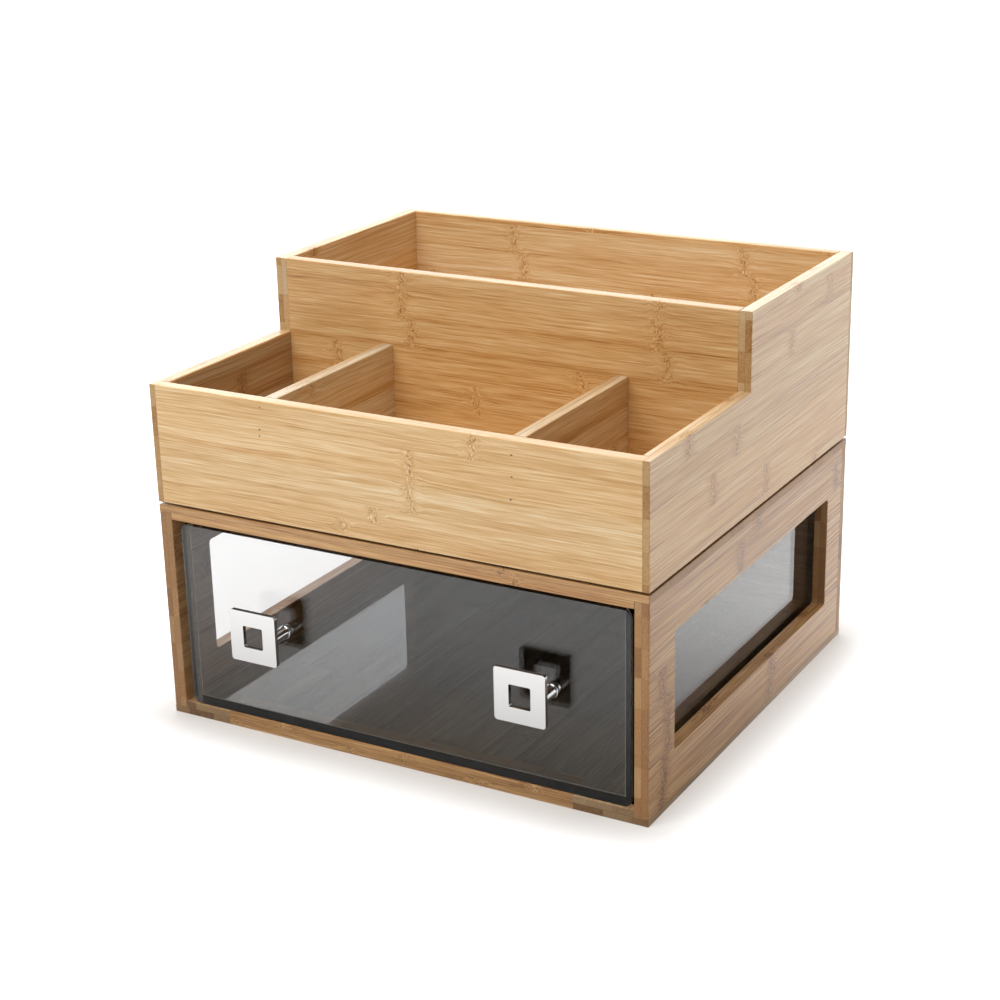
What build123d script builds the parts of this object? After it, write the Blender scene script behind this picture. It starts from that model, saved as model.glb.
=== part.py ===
from build123d import *
import os

# Coffee station organizer: a bamboo case with a clear drawer, and a stepped bamboo tray standing on it.
# Millimetres. The origin is the centre of the case's underside, +X right, +Y to the back, +Z up.

# Case: boards of two glued plies, with a thinner back board laid over the sides' rear ends
case_width = 356.0
case_depth = 324.0
case_height = 150.5
case_board = 9.7
case_back_board = 7.5
case_outer_round = 1.2
case_corner_round = 1.2
case_mouth_round = 0.6

# Window cut in each side of the case
window_front_margin = 36.8
window_rear_margin = 33.1
window_edge_margin = 35.4
window_corner = 2.6
window_bevel = 0.5

# Tray: the same outline as the case, low in front and high behind
pad_thickness = 1.8
pad_diameter = 12.0
pad_inset = 18.0
tray_board = 9.0
tray_back_board = 7.5
tray_floor_board = 4.8
tray_low_height = 80.5
tray_high_height = 132.3
tray_step_depth = 146.0
tray_outer_round = 0.9
tray_rim_round = 1.0
divider_place_share = 0.25

# Headless pins through the front panel into the dividers' ends. Their heights are shares of the low
# walls' height, their distances from a divider's middle are shares of its thickness.
pin_diameter = 1.0
pin_clearance = 0.05
pin_length = 18.0
pin_sink = 1.2
left_pin_height_shares = (0.947, 0.765, 0.712)
left_pin_offset_shares = (-0.21, -0.34, -0.39)
right_pin_height_shares = (0.884, 0.716, 0.538)
right_pin_offset_shares = (-0.03, -0.03, -0.16)

# Drawer: smoked clear sheets, standing a little to the right of the middle
sheet = 5.0
sheet_bevel = 0.3
drawer_recess = 1.2
drawer_floor_gap = 0.3
drawer_top_gap = 2.4
drawer_left_gap = 6.3
drawer_right_gap = 2.3
drawer_stop_gap = 0.4
drawer_front_corner = 4.5

# Knobs: a square plate with a square hole, on one round post behind the plate's right bar
knob_end_inset = 66.0
knob_height = 66.6
plate_side = 35.2
plate_thickness = 3.0
plate_hole = 15.0
plate_corner = 2.0
plate_hole_corner = 1.0
plate_bevel = 0.5
plate_gap = 14.5
post_diameter = 8.0
collar_diameter = 9.4
collar_thickness = 1.0
collar_bevel = 0.2
screw_diameter = 4.0
screw_clearance = 0.3
thread_clearance = 0.05
screw_grip = 8.0
screw_tip_gap = 1.0
screw_head_diameter = 7.6
screw_head_height = 2.6
screw_head_round = 0.9
screw_slot_width = 1.1
screw_slot_depth = 1.2

# How far a cut runs past what it cuts, and how closely an edge's place is matched
overrun = 5.0
match = 0.01

# Planes and lengths that several pieces share
case_ply = case_board / 2
case_front = -case_depth / 2
case_back = case_depth / 2
case_inner_width = case_width - 2 * case_board
case_inner_back = case_back - case_back_board
case_inner_top = case_height - case_board

tray_ply = tray_board / 2
tray_back_ply = tray_back_board / 2
tray_bottom = case_height + pad_thickness
tray_low_top = tray_bottom + tray_low_height
tray_high_top = tray_bottom + tray_high_height
tray_floor_top = tray_bottom + tray_floor_board
tray_half_width = case_width / 2
tray_inner_half_width = tray_half_width - tray_board
tray_side_back = case_back - tray_back_ply
tray_inner_back = case_back - tray_back_board
tray_step = case_front + tray_step_depth
left_divider_x = -divider_place_share * case_width
right_divider_x = divider_place_share * case_width
left_pin_places = [
    (left_divider_x + offset * tray_board, tray_bottom + height * tray_low_height)
    for offset, height in zip(left_pin_offset_shares, left_pin_height_shares)
]
right_pin_places = [
    (right_divider_x + offset * tray_board, tray_bottom + height * tray_low_height)
    for offset, height in zip(right_pin_offset_shares, right_pin_height_shares)
]
pin_front = case_front + pin_sink

drawer_left = -case_inner_width / 2 + drawer_left_gap
drawer_right = case_inner_width / 2 - drawer_right_gap
drawer_middle = (drawer_left + drawer_right) / 2
drawer_width = drawer_right - drawer_left
drawer_bottom_z = case_board + drawer_floor_gap
drawer_top_z = case_inner_top - drawer_top_gap
drawer_height = drawer_top_z - drawer_bottom_z
drawer_front_y = case_front + drawer_recess
drawer_inner_front = drawer_front_y + sheet
drawer_back_y = case_inner_back - drawer_stop_gap
drawer_inner_back = drawer_back_y - sheet

knob_z = drawer_bottom_z + knob_height
post_offset = (plate_side + plate_hole) / 4
plate_back_y = drawer_front_y - plate_gap

parts_folder = "parts"


def block(x_low, x_high, y_low, y_high, z_low, z_high, mode=Mode.ADD):
    """A box between three pairs of planes, added to or cut from the part that is being built."""
    with BuildSketch(Plane.XY.offset(z_low)) as outline:
        with Locations(((x_low + x_high) / 2, (y_low + y_high) / 2)):
            Rectangle(x_high - x_low, y_high - y_low)
    extrude(outline.sketch, amount=z_high - z_low, mode=mode)


def edges_at(shape, axis, place):
    """The edges of a shape that lie wholly at one place along an axis."""
    return shape.edges().filter_by_position(axis, place - match, place + match)


def pins(places, radius, y_low, y_high, mode=Mode.ADD):
    """Round bars along the depth at the given (x, z) places, added to or cut from the part."""
    with BuildSketch(Plane.XZ.offset(-y_low)) as rounds:
        with Locations(*places):
            Circle(radius)
    extrude(rounds.sketch, amount=y_low - y_high, mode=mode)


def save(part, name):
    """Label one finished piece and write it to its own file."""
    part.label = name
    export_step(part, f"{parts_folder}/{name}.step")


def make_case_top():
    """Top board: its upper ply covers sides and back, its lower ply drops in between them."""
    with BuildPart() as top:
        block(-case_width / 2, case_width / 2, case_front, case_back, case_height - case_ply, case_height)
        fillet(top.edges().filter_by(Axis.Z), case_corner_round)
        fillet(edges_at(top, Axis.Z, case_height), case_outer_round)
        block(
            -case_inner_width / 2, case_inner_width / 2, case_front, case_inner_back,
            case_inner_top, case_height - case_ply,
        )
        mouth = edges_at(top, Axis.Z, case_inner_top).filter_by(Axis.X).sort_by(Axis.Y)[0]
        fillet(mouth, case_mouth_round)
    return top.part


def make_case_bottom():
    """Bottom board: the top board turned over, flat underneath to stand on."""
    with BuildPart() as bottom:
        block(-case_width / 2, case_width / 2, case_front, case_back, 0, case_ply)
        fillet(bottom.edges().filter_by(Axis.Z), case_corner_round)
        fillet(edges_at(bottom, Axis.Z, 0), case_outer_round)
        block(
            -case_inner_width / 2, case_inner_width / 2, case_front, case_inner_back,
            case_ply, case_board,
        )
        mouth = edges_at(bottom, Axis.Z, case_board).filter_by(Axis.X).sort_by(Axis.Y)[0]
        fillet(mouth, case_mouth_round)
    return bottom.part


def make_case_side(side):
    """One side board with its window; side is -1 for the left and 1 for the right."""
    outer = side * case_width / 2
    inner = side * case_inner_width / 2
    window_front = case_front + window_front_margin
    window_back = case_back - window_rear_margin
    window_low = window_edge_margin
    window_high = case_height - window_edge_margin
    with BuildPart() as board:
        block(
            min(outer, inner), max(outer, inner), case_front, case_inner_back,
            case_ply, case_height - case_ply,
        )
        front_edges = edges_at(board, Axis.Y, case_front).filter_by(Axis.Z).sort_by(Axis.X)
        fillet(front_edges[-1] if side > 0 else front_edges[0], case_corner_round)
        fillet(front_edges[0] if side > 0 else front_edges[-1], case_mouth_round)
        with BuildSketch(Plane.YZ.offset(min(outer, inner) - overrun)) as window:
            with Locations(((window_front + window_back) / 2, (window_low + window_high) / 2)):
                RectangleRounded(window_back - window_front, window_high - window_low, window_corner)
        extrude(window.sketch, amount=case_board + 2 * overrun, mode=Mode.SUBTRACT)
        for face_x in (outer, inner):
            rim = edges_at(board, Axis.X, face_x)
            rim = rim.filter_by_position(Axis.Y, window_front - match, window_back + match)
            rim = rim.filter_by_position(Axis.Z, window_low - match, window_high + match)
            chamfer(rim, window_bevel)
    return board.part


def make_case_back():
    """Back board, laid over the rear ends of the sides between the top and bottom plies."""
    with BuildPart() as back:
        block(-case_width / 2, case_width / 2, case_inner_back, case_back, case_ply, case_height - case_ply)
        rear = edges_at(back, Axis.Y, case_back).filter_by(Axis.Z)
        fillet(rear, case_corner_round)
    return back.part


def make_tray_front():
    """Low front panel, its ends let into the sides and its lower edge rebated for the floor."""
    half = tray_half_width - tray_ply
    with BuildPart() as front:
        block(-half, half, case_front, case_front + tray_board, tray_bottom, tray_low_top)
        block(
            -half - overrun, half + overrun, case_front + tray_ply, case_front + tray_board + overrun,
            tray_bottom - overrun, tray_floor_top, mode=Mode.SUBTRACT,
        )
        fillet(edges_at(front, Axis.Z, tray_low_top).filter_by(Axis.X), tray_rim_round)
        lower = edges_at(front, Axis.Z, tray_bottom).filter_by(Axis.X).sort_by(Axis.Y)[0]
        fillet(lower, tray_outer_round)
        pins(
            left_pin_places + right_pin_places, pin_diameter / 2 + pin_clearance,
            case_front - overrun, case_front + tray_board + overrun, mode=Mode.SUBTRACT,
        )
    return front.part


def make_tray_side(side):
    """One stepped side; side is -1 for the left and 1 for the right."""
    outer = side * tray_half_width
    seam = side * (tray_half_width - tray_ply)
    inner = side * tray_inner_half_width
    low_x, high_x = min(outer, inner), max(outer, inner)
    past_inner = inner - side * overrun
    with BuildPart() as board:
        with BuildSketch(Plane.YZ.offset(low_x)) as profile:
            with BuildLine():
                Polyline(
                    (case_front, tray_bottom),
                    (tray_side_back, tray_bottom),
                    (tray_side_back, tray_high_top),
                    (tray_step, tray_high_top),
                    (tray_step, tray_low_top),
                    (case_front, tray_low_top),
                    close=True,
                )
            make_face()
        extrude(profile.sketch, amount=high_x - low_x)
        rear_edges = edges_at(board, Axis.Y, tray_side_back).filter_by(Axis.Z)
        fillet(edges_at(board, Axis.X, outer) - rear_edges, tray_outer_round)
        rims = edges_at(board, Axis.Z, tray_high_top) + edges_at(board, Axis.Z, tray_low_top)
        inner_rims = rims.filter_by(Axis.Y).filter_by_position(Axis.X, inner - match, inner + match)
        fillet(inner_rims, tray_rim_round)
        block(
            min(seam, past_inner), max(seam, past_inner), case_front - overrun, case_front + tray_board,
            tray_bottom - overrun, tray_low_top + overrun, mode=Mode.SUBTRACT,
        )
        block(
            min(seam, past_inner), max(seam, past_inner), case_front - overrun, case_back + overrun,
            tray_bottom - overrun, tray_floor_top, mode=Mode.SUBTRACT,
        )
    return board.part


def make_tray_middle_wall():
    """Tall wall between the sides, the back of the low bins and the front of the tall one."""
    with BuildPart() as wall:
        block(
            -tray_inner_half_width, tray_inner_half_width, tray_step, tray_step + tray_board,
            tray_floor_top, tray_high_top,
        )
        fillet(edges_at(wall, Axis.Z, tray_high_top).filter_by(Axis.X), tray_rim_round)
    return wall.part


def make_tray_back():
    """Back panel: its outer ply covers the sides' rear ends, its inner ply sits between them."""
    with BuildPart() as back:
        block(
            -tray_half_width, tray_half_width, tray_side_back, case_back, tray_bottom, tray_high_top,
        )
        fillet(edges_at(back, Axis.Y, case_back), tray_outer_round)
        block(
            -tray_inner_half_width, tray_inner_half_width, tray_inner_back, tray_side_back,
            tray_floor_top, tray_high_top,
        )
        rim = edges_at(back, Axis.Y, tray_inner_back).filter_by(Axis.X).sort_by(Axis.Z)[-1]
        fillet(rim, tray_rim_round)
    return back.part


def make_tray_floor():
    """Thin floor, let into the rebates of the four walls flush with their lower edges."""
    half = tray_half_width - tray_ply
    with BuildPart() as floor:
        block(-half, half, case_front + tray_ply, tray_side_back, tray_bottom, tray_floor_top)
    return floor.part


def make_divider(middle, pin_places):
    """One low divider between the front panel and the middle wall, with its pins' blind holes."""
    with BuildPart() as divider:
        block(
            middle - tray_board / 2, middle + tray_board / 2, case_front + tray_board, tray_step,
            tray_floor_top, tray_low_top,
        )
        fillet(edges_at(divider, Axis.Z, tray_low_top).filter_by(Axis.Y), tray_rim_round)
        pins(
            pin_places, pin_diameter / 2 + pin_clearance,
            case_front, pin_front + pin_length, mode=Mode.SUBTRACT,
        )
    return divider.part


def make_divider_pins():
    """The six headless pins, sunk a little below the front panel's face."""
    with BuildPart() as group:
        pins(left_pin_places + right_pin_places, pin_diameter / 2, pin_front, pin_front + pin_length)
    return group.part


def make_tray_pads():
    """Four thin round pads under the tray, near its corners."""
    across = case_width - 2 * pad_inset
    along = case_depth - 2 * pad_inset
    with BuildPart() as pads:
        with BuildSketch(Plane.XY.offset(case_height)):
            with GridLocations(across, along, 2, 2):
                Circle(pad_diameter / 2)
        extrude(amount=pad_thickness)
    return pads.part


def make_drawer_front(knob_places):
    """Front sheet with rounded corners and one hole for each knob's screw."""
    with BuildPart() as front:
        with BuildSketch(Plane.XZ.offset(-drawer_front_y)) as outline:
            with Locations((drawer_middle, (drawer_bottom_z + drawer_top_z) / 2)):
                RectangleRounded(drawer_width, drawer_height, drawer_front_corner)
        extrude(outline.sketch, amount=-sheet)
        for face in (front.faces().sort_by(Axis.Y)[0], front.faces().sort_by(Axis.Y)[-1]):
            chamfer(face.outer_wire().edges(), sheet_bevel)
        with BuildSketch(Plane.XZ.offset(overrun - drawer_front_y)) as holes:
            with Locations(*[(place + post_offset, knob_z) for place in knob_places]):
                Circle(screw_diameter / 2 + screw_clearance)
        extrude(holes.sketch, amount=-sheet - 2 * overrun, mode=Mode.SUBTRACT)
    return front.part


def make_drawer_side(side):
    """One side sheet, flush with the end of the front sheet."""
    outer = drawer_right if side > 0 else drawer_left
    inner = outer - side * sheet
    with BuildPart() as wall:
        block(
            min(outer, inner), max(outer, inner), drawer_inner_front, drawer_back_y,
            drawer_bottom_z, drawer_top_z,
        )
        chamfer(edges_at(wall, Axis.X, outer).filter_by(Axis.Y), sheet_bevel)
    return wall.part


def make_drawer_back():
    """Back sheet between the two side sheets."""
    with BuildPart() as back:
        block(
            drawer_left + sheet, drawer_right - sheet, drawer_inner_back, drawer_back_y,
            drawer_bottom_z, drawer_top_z,
        )
    return back.part


def make_drawer_bottom():
    """Bottom sheet between the four upright sheets, flush with their lower edges."""
    with BuildPart() as bottom:
        block(
            drawer_left + sheet, drawer_right - sheet, drawer_inner_front, drawer_inner_back,
            drawer_bottom_z, drawer_bottom_z + sheet,
        )
    return bottom.part


def make_knob_plate(place):
    """Square plate with a square hole, all its front edges broken by a small bevel."""
    with BuildPart() as plate:
        with BuildSketch(Plane.XZ.offset(-plate_back_y)) as outline:
            with Locations((place, knob_z)):
                RectangleRounded(plate_side, plate_side, plate_corner)
                RectangleRounded(plate_hole, plate_hole, plate_hole_corner, mode=Mode.SUBTRACT)
        extrude(outline.sketch, amount=plate_thickness)
        chamfer(plate.faces().sort_by(Axis.Y)[0].edges(), plate_bevel)
    return plate.part


def make_knob_post(place):
    """Round post from the plate to the collar, with a blind threaded hole for the screw."""
    post_end = drawer_front_y - collar_thickness
    with BuildPart() as post:
        with BuildSketch(Plane.XZ.offset(-post_end)) as outline:
            with Locations((place + post_offset, knob_z)):
                Circle(post_diameter / 2)
        extrude(outline.sketch, amount=plate_gap - collar_thickness)
        with BuildSketch(Plane.XZ.offset(-post_end)) as hole:
            with Locations((place + post_offset, knob_z)):
                Circle(screw_diameter / 2 + thread_clearance)
        extrude(hole.sketch, amount=screw_grip + screw_tip_gap, mode=Mode.SUBTRACT)
    return post.part


def make_knob_collar(place):
    """Thin ring between the post and the front sheet."""
    with BuildPart() as collar:
        with BuildSketch(Plane.XZ.offset(-drawer_front_y)) as outline:
            with Locations((place + post_offset, knob_z)):
                Circle(collar_diameter / 2)
                Circle(screw_diameter / 2 + screw_clearance, mode=Mode.SUBTRACT)
        extrude(outline.sketch, amount=collar_thickness)
        rims = collar.edges().filter_by(GeomType.CIRCLE).sort_by(SortBy.RADIUS)[-2:]
        chamfer(rims, collar_bevel)
    return collar.part


def make_knob_screw(place):
    """Slotted screw from inside the drawer, through sheet and collar into the post."""
    reach = sheet + collar_thickness + screw_grip
    with BuildPart() as screw:
        with BuildSketch(Plane.XZ.offset(-drawer_inner_front)) as shank:
            with Locations((place + post_offset, knob_z)):
                Circle(screw_diameter / 2)
        extrude(shank.sketch, amount=reach)
        with BuildSketch(Plane.XZ.offset(-drawer_inner_front)) as head:
            with Locations((place + post_offset, knob_z)):
                Circle(screw_head_diameter / 2)
        extrude(head.sketch, amount=-screw_head_height)
        crown = screw.edges().filter_by(GeomType.CIRCLE).sort_by(Axis.Y)[-1]
        fillet(crown, screw_head_round)
        slot_bottom = drawer_inner_front + screw_head_height - screw_slot_depth
        with BuildSketch(Plane.XZ.offset(-slot_bottom)) as slot:
            with Locations((place + post_offset, knob_z)):
                Rectangle(screw_head_diameter + overrun, screw_slot_width)
        extrude(slot.sketch, amount=-screw_slot_depth - overrun, mode=Mode.SUBTRACT)
    return screw.part


os.makedirs(parts_folder, exist_ok=True)

sides = {"left": -1, "right": 1}
knob_x = {"left": drawer_left + knob_end_inset, "right": drawer_right - knob_end_inset}

save(make_case_top(), "case_top_panel")
save(make_case_bottom(), "case_bottom_panel")
save(make_case_back(), "case_back_panel")
save(make_tray_front(), "tray_front_panel")
save(make_tray_middle_wall(), "tray_middle_wall")
save(make_tray_back(), "tray_back_panel")
save(make_tray_floor(), "tray_floor")
save(make_tray_pads(), "tray_pads")
save(make_divider(left_divider_x, left_pin_places), "tray_left_divider")
save(make_divider(right_divider_x, right_pin_places), "tray_right_divider")
save(make_divider_pins(), "divider_pins")
save(make_drawer_front(knob_x.values()), "drawer_front")
save(make_drawer_back(), "drawer_back")
save(make_drawer_bottom(), "drawer_bottom")

for name, side in sides.items():
    save(make_case_side(side), f"case_{name}_side")
    save(make_tray_side(side), f"tray_{name}_side")
    save(make_drawer_side(side), f"drawer_{name}_side")
    save(make_knob_plate(knob_x[name]), f"{name}_knob_plate")
    save(make_knob_post(knob_x[name]), f"{name}_knob_post")
    save(make_knob_collar(knob_x[name]), f"{name}_knob_collar")
    save(make_knob_screw(knob_x[name]), f"{name}_knob_screw")
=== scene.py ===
"""Looks of the coffee station organizer: bamboo case and stepped tray, smoked drawer, square metal knobs.

Sizes are in millimetres and go to Blender's metres when a mesh is made. The origin is the centre of the
case's underside, with X to the right, Y to the back and Z up.
"""

from __future__ import annotations

import logging
import math
import random
from collections.abc import Iterable, Sequence
from dataclasses import dataclass, replace
from enum import Enum
from itertools import product
from typing import ClassVar

import bmesh
import bpy
from mathutils import Matrix, Vector

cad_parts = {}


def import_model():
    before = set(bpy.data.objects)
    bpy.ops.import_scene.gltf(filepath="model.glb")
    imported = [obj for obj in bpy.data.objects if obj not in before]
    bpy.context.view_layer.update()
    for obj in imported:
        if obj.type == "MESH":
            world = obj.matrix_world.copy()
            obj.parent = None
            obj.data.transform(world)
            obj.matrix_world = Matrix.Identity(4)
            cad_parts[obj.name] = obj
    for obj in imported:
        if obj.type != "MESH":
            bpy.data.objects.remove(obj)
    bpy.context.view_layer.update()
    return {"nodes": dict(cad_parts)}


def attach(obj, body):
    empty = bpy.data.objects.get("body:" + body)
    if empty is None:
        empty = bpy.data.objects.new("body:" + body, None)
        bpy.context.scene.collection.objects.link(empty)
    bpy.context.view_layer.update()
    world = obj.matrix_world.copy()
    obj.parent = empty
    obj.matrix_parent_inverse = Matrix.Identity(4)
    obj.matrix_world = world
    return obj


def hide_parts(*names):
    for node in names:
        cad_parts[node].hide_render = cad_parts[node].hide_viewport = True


LOG = logging.getLogger("organizer")
MILLIMETRE = 0.001
WHITE = (1.0, 1.0, 1.0)

# How near two places count as one, and how far a cut reaches past what it cuts
NEAR = 0.01
PAST = 5.0

# The angles in degrees from which an edge is rounded, is eased, and shades as sharp
ROUNDED_FROM = 25.0
EASED_FROM = 40.0
SHARP_FROM = 55.0
CRISP = 30.0

# How far a face's normal lies along an axis, from 0 to 1, for it to be end grain, and to look up and get the
# painted top light
END_FROM = 0.7
UP_FROM = 0.9

# The levels between which nearly all of Blender's noise lies
NOISE_SPAN = (0.28, 0.72)

Point = tuple[float, float, float]
Flat = tuple[float, float]
Rgb = tuple[float, float, float]
Value = object


class Axis(Enum):
    """The three axes, by their place in a point."""

    X = 0
    Y = 1
    Z = 2


class Side(Enum):
    """Left or right, by the sign of X."""

    LEFT = -1
    RIGHT = 1

    @property
    def word(self) -> str:
        """The word that a node's name has for this side."""
        return self.name.lower()


class Blend(Enum):
    """The ways of mixing two colours, by Blender's names."""

    MIX = "MIX"
    MULTIPLY = "MULTIPLY"


class Course(Enum):
    """How a level goes from one mark to the next, by Blender's names."""

    STEPPED = "CONSTANT"
    STRAIGHT = "LINEAR"
    SMOOTH = "SMOOTHSTEP"


def linear(colour: Rgb) -> Rgb:
    """Turn a colour as a picture gives it, from 0 to 255, into the linear values that a shader takes."""
    shares = (c / 255 for c in colour)
    return tuple(s / 12.92 if s <= 0.04045 else ((s + 0.055) / 1.055) ** 2.4 for s in shares)


# Meshes


@dataclass(frozen=True)
class Block:
    """An upright block, by its two ends on each axis, in either order."""

    x: Flat
    y: Flat
    z: Flat

    @property
    def spans(self) -> list[list[float]]:
        """Its lowest and highest place on each axis."""
        return [sorted(span) for span in (self.x, self.y, self.z)]

    def holds(self, point: Sequence[float], slack: float = 0.0) -> bool:
        """Whether a point lies in the block, or within the slack of it."""
        return all(low - slack < p < high + slack for p, (low, high) in zip(point, self.spans))


@dataclass(frozen=True)
class Plane:
    """A plane square to one axis."""

    axis: Axis
    place: float

    def holds(self, vertex: bmesh.types.BMVert) -> bool:
        """Whether a vertex lies in the plane."""
        return abs(vertex.co[self.axis.value] - self.place) < NEAR


def planes(axis: Axis, *places: float) -> tuple[Plane, ...]:
    """Planes square to one axis at several places."""
    return tuple(Plane(axis, place) for place in places)


@dataclass(frozen=True)
class Rounding:
    """Edges that are rounded together.

    Attributes:
        groups: Groups of planes: the edges lie where two groups meet, or in a plane of a lone group.
        radius: How far the rounding reaches.
        segments: How many faces it has.
        within: The block that holds the edges, if only some of those are rounded.
    """

    groups: tuple[tuple[Plane, ...], ...]
    radius: float
    segments: int = 4
    within: Block | None = None

    def picks(self, edge: bmesh.types.BMEdge) -> bool:
        """Tell whether an edge is one of those to round.

        Args:
            edge: The edge that is asked about.

        Returns:
            True for a sharp edge that lies in the planes, and in the block if one is named.
        """
        if len(edge.link_faces) != 2 or edge.calc_face_angle() < math.radians(ROUNDED_FROM):
            return False
        if self.within is not None and not all(self.within.holds(v.co, NEAR) for v in edge.verts):
            return False
        held = [any(all(plane.holds(v) for v in edge.verts) for plane in group) for group in self.groups]
        return sum(held) >= min(2, len(held))


def circle(x: float, z: float, radius: float, steps: int) -> list[Flat]:
    """The (x, z) points round a circle."""
    angles = [2 * math.pi * i / steps for i in range(steps)]
    return [(x + radius * math.cos(a), z + radius * math.sin(a)) for a in angles]


def rounded_loop(middle: Flat, width: float, height: float, radius: float, steps: int) -> list[Flat]:
    """The points round a rectangle with round corners.

    Args:
        middle: Its middle.
        width: Its width.
        height: Its height.
        radius: The radius of its corners.
        steps: How many steps each corner has.

    Returns:
        The points, the same way round as a clock's hands go backwards.
    """
    loop = []
    for corner, (right, up) in enumerate(((1, 1), (-1, 1), (-1, -1), (1, -1))):
        x = middle[0] + right * (width / 2 - radius)
        y = middle[1] + up * (height / 2 - radius)
        for step in range(steps + 1):
            angle = math.radians(90 * (corner + step / steps))
            loop.append((x + radius * math.cos(angle), y + radius * math.sin(angle)))
    return loop


class Form:
    """A mesh in the making, in millimetres. Its methods give the form back, to be called in a row."""

    def __init__(self) -> None:
        """Start with an empty mesh."""
        self.mesh = bmesh.new()

    def blocks(self, solids: Sequence[Block], voids: Sequence[Block] = ()) -> Form:
        """Add the outer skin of some blocks joined into one, less other blocks.

        Args:
            solids: The blocks that are filled.
            voids: The blocks that are cut out of them.

        Returns:
            This form.
        """
        marks = [sorted({place for b in (*solids, *voids) for place in b.spans[i]}) for i in range(3)]
        cells = []
        for cell in product(*(range(len(m) - 1) for m in marks)):
            middle = [(m[c] + m[c + 1]) / 2 for c, m in zip(cell, marks)]
            if any(b.holds(middle) for b in solids) and not any(b.holds(middle) for b in voids):
                cells.append(cell)
        corners: dict[tuple[int, ...], bmesh.types.BMVert] = {}
        for cell, axis, step in product(cells, range(3), (0, 1)):
            if tuple(c + (2 * step - 1) * (i == axis) for i, c in enumerate(cell)) in cells:
                continue
            ring = []
            for a, b in ((0, 0), (1, 0), (1, 1), (0, 1)):
                grown = {axis: step, (axis + 1) % 3: a, (axis + 2) % 3: b}
                place = tuple(c + grown[i] for i, c in enumerate(cell))
                if place not in corners:
                    corners[place] = self.mesh.verts.new([m[c] for c, m in zip(place, marks)])
                ring.append(corners[place])
            self.mesh.faces.new(ring if step else ring[::-1])
        bmesh.ops.dissolve_limit(
            self.mesh, angle_limit=math.radians(1), verts=self.mesh.verts[:], edges=self.mesh.edges[:]
        )
        return self

    def slab(
        self, outline: Sequence[Flat], holes: Sequence[Sequence[Flat]], front: float, back: float
    ) -> Form:
        """Add an upright plate that faces the front, with holes through it.

        Args:
            outline: The (x, z) points round its edge.
            holes: The (x, z) points round each hole.
            front: The Y of its front face.
            back: The Y of its back face.

        Returns:
            This form.
        """
        edges = []
        for loop in (outline, *holes):
            ring = [self.mesh.verts.new((x, front, z)) for x, z in loop]
            edges += [self.mesh.edges.new((a, b)) for a, b in zip(ring, ring[1:] + ring[:1])]
        filled = bmesh.ops.triangle_fill(self.mesh, use_beauty=True, edges=edges, normal=(0, -1, 0))
        faces = [g for g in filled["geom"] if isinstance(g, bmesh.types.BMFace)]
        grown = bmesh.ops.extrude_face_region(self.mesh, geom=faces)["geom"]
        moved = [g for g in grown if isinstance(g, bmesh.types.BMVert)]
        bmesh.ops.translate(self.mesh, verts=moved, vec=(0, back - front, 0))
        return self

    def turned(self, profile: Sequence[Flat], x: float, z: float, steps: int = 48) -> Form:
        """Add a piece turned round an axis that runs front to back.

        Args:
            profile: Its (radius, y) points from one end to the other.
            x: The axis's X.
            z: The axis's Z.
            steps: How many faces go round it.

        Returns:
            This form.
        """
        rings = []
        for radius, y in profile:
            points = [(x, z)] if radius < NEAR else circle(x, z, radius, steps)
            rings.append([self.mesh.verts.new((across, y, up)) for across, up in points])
        for one, two in zip(rings, rings[1:]):
            for i in range(steps):
                j = i + 1
                ring = [one[i % len(one)], one[j % len(one)], two[j % len(two)], two[i % len(two)]]
                self.mesh.faces.new(list(dict.fromkeys(ring)))
        return self

    def bevel(self, edges: Sequence[bmesh.types.BMEdge], width: float, segments: int) -> None:
        """Bevel some edges.

        Args:
            edges: The edges.
            width: How far the bevel reaches from each.
            segments: How many faces it has.
        """
        bmesh.ops.bevel(
            self.mesh, geom=edges, offset=width, offset_type="OFFSET", affect="EDGES",
            segments=segments, profile=0.5, clamp_overlap=True,
        )

    def rounded(self, *roundings: Rounding) -> Form:
        """Round groups of edges, one group after the other.

        Args:
            roundings: The groups.

        Returns:
            This form.
        """
        for rounding in roundings:
            edges = [e for e in self.mesh.edges if rounding.picks(e)]
            if edges:
                self.bevel(edges, rounding.radius, rounding.segments)
        return self

    def eased(self, width: float) -> Form:
        """Break every edge that is still sharp, as sanding does.

        Args:
            width: How wide the broken edge is.

        Returns:
            This form.
        """
        paired = [e for e in self.mesh.edges if len(e.link_faces) == 2]
        self.bevel([e for e in paired if e.calc_face_angle() > math.radians(EASED_FROM)], width, 2)
        return self

    def parted(self, cuts: Iterable[Plane]) -> Form:
        """Part the faces along some planes, without changing the shape.

        Args:
            cuts: The planes.

        Returns:
            This form.
        """
        for cut in cuts:
            place, way = [0.0, 0.0, 0.0], [0.0, 0.0, 0.0]
            place[cut.axis.value], way[cut.axis.value] = cut.place, 1.0
            everything = self.mesh.verts[:] + self.mesh.edges[:] + self.mesh.faces[:]
            bmesh.ops.bisect_plane(
                self.mesh, geom=everything, dist=NEAR / 10, plane_co=place, plane_no=way
            )
        return self

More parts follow.
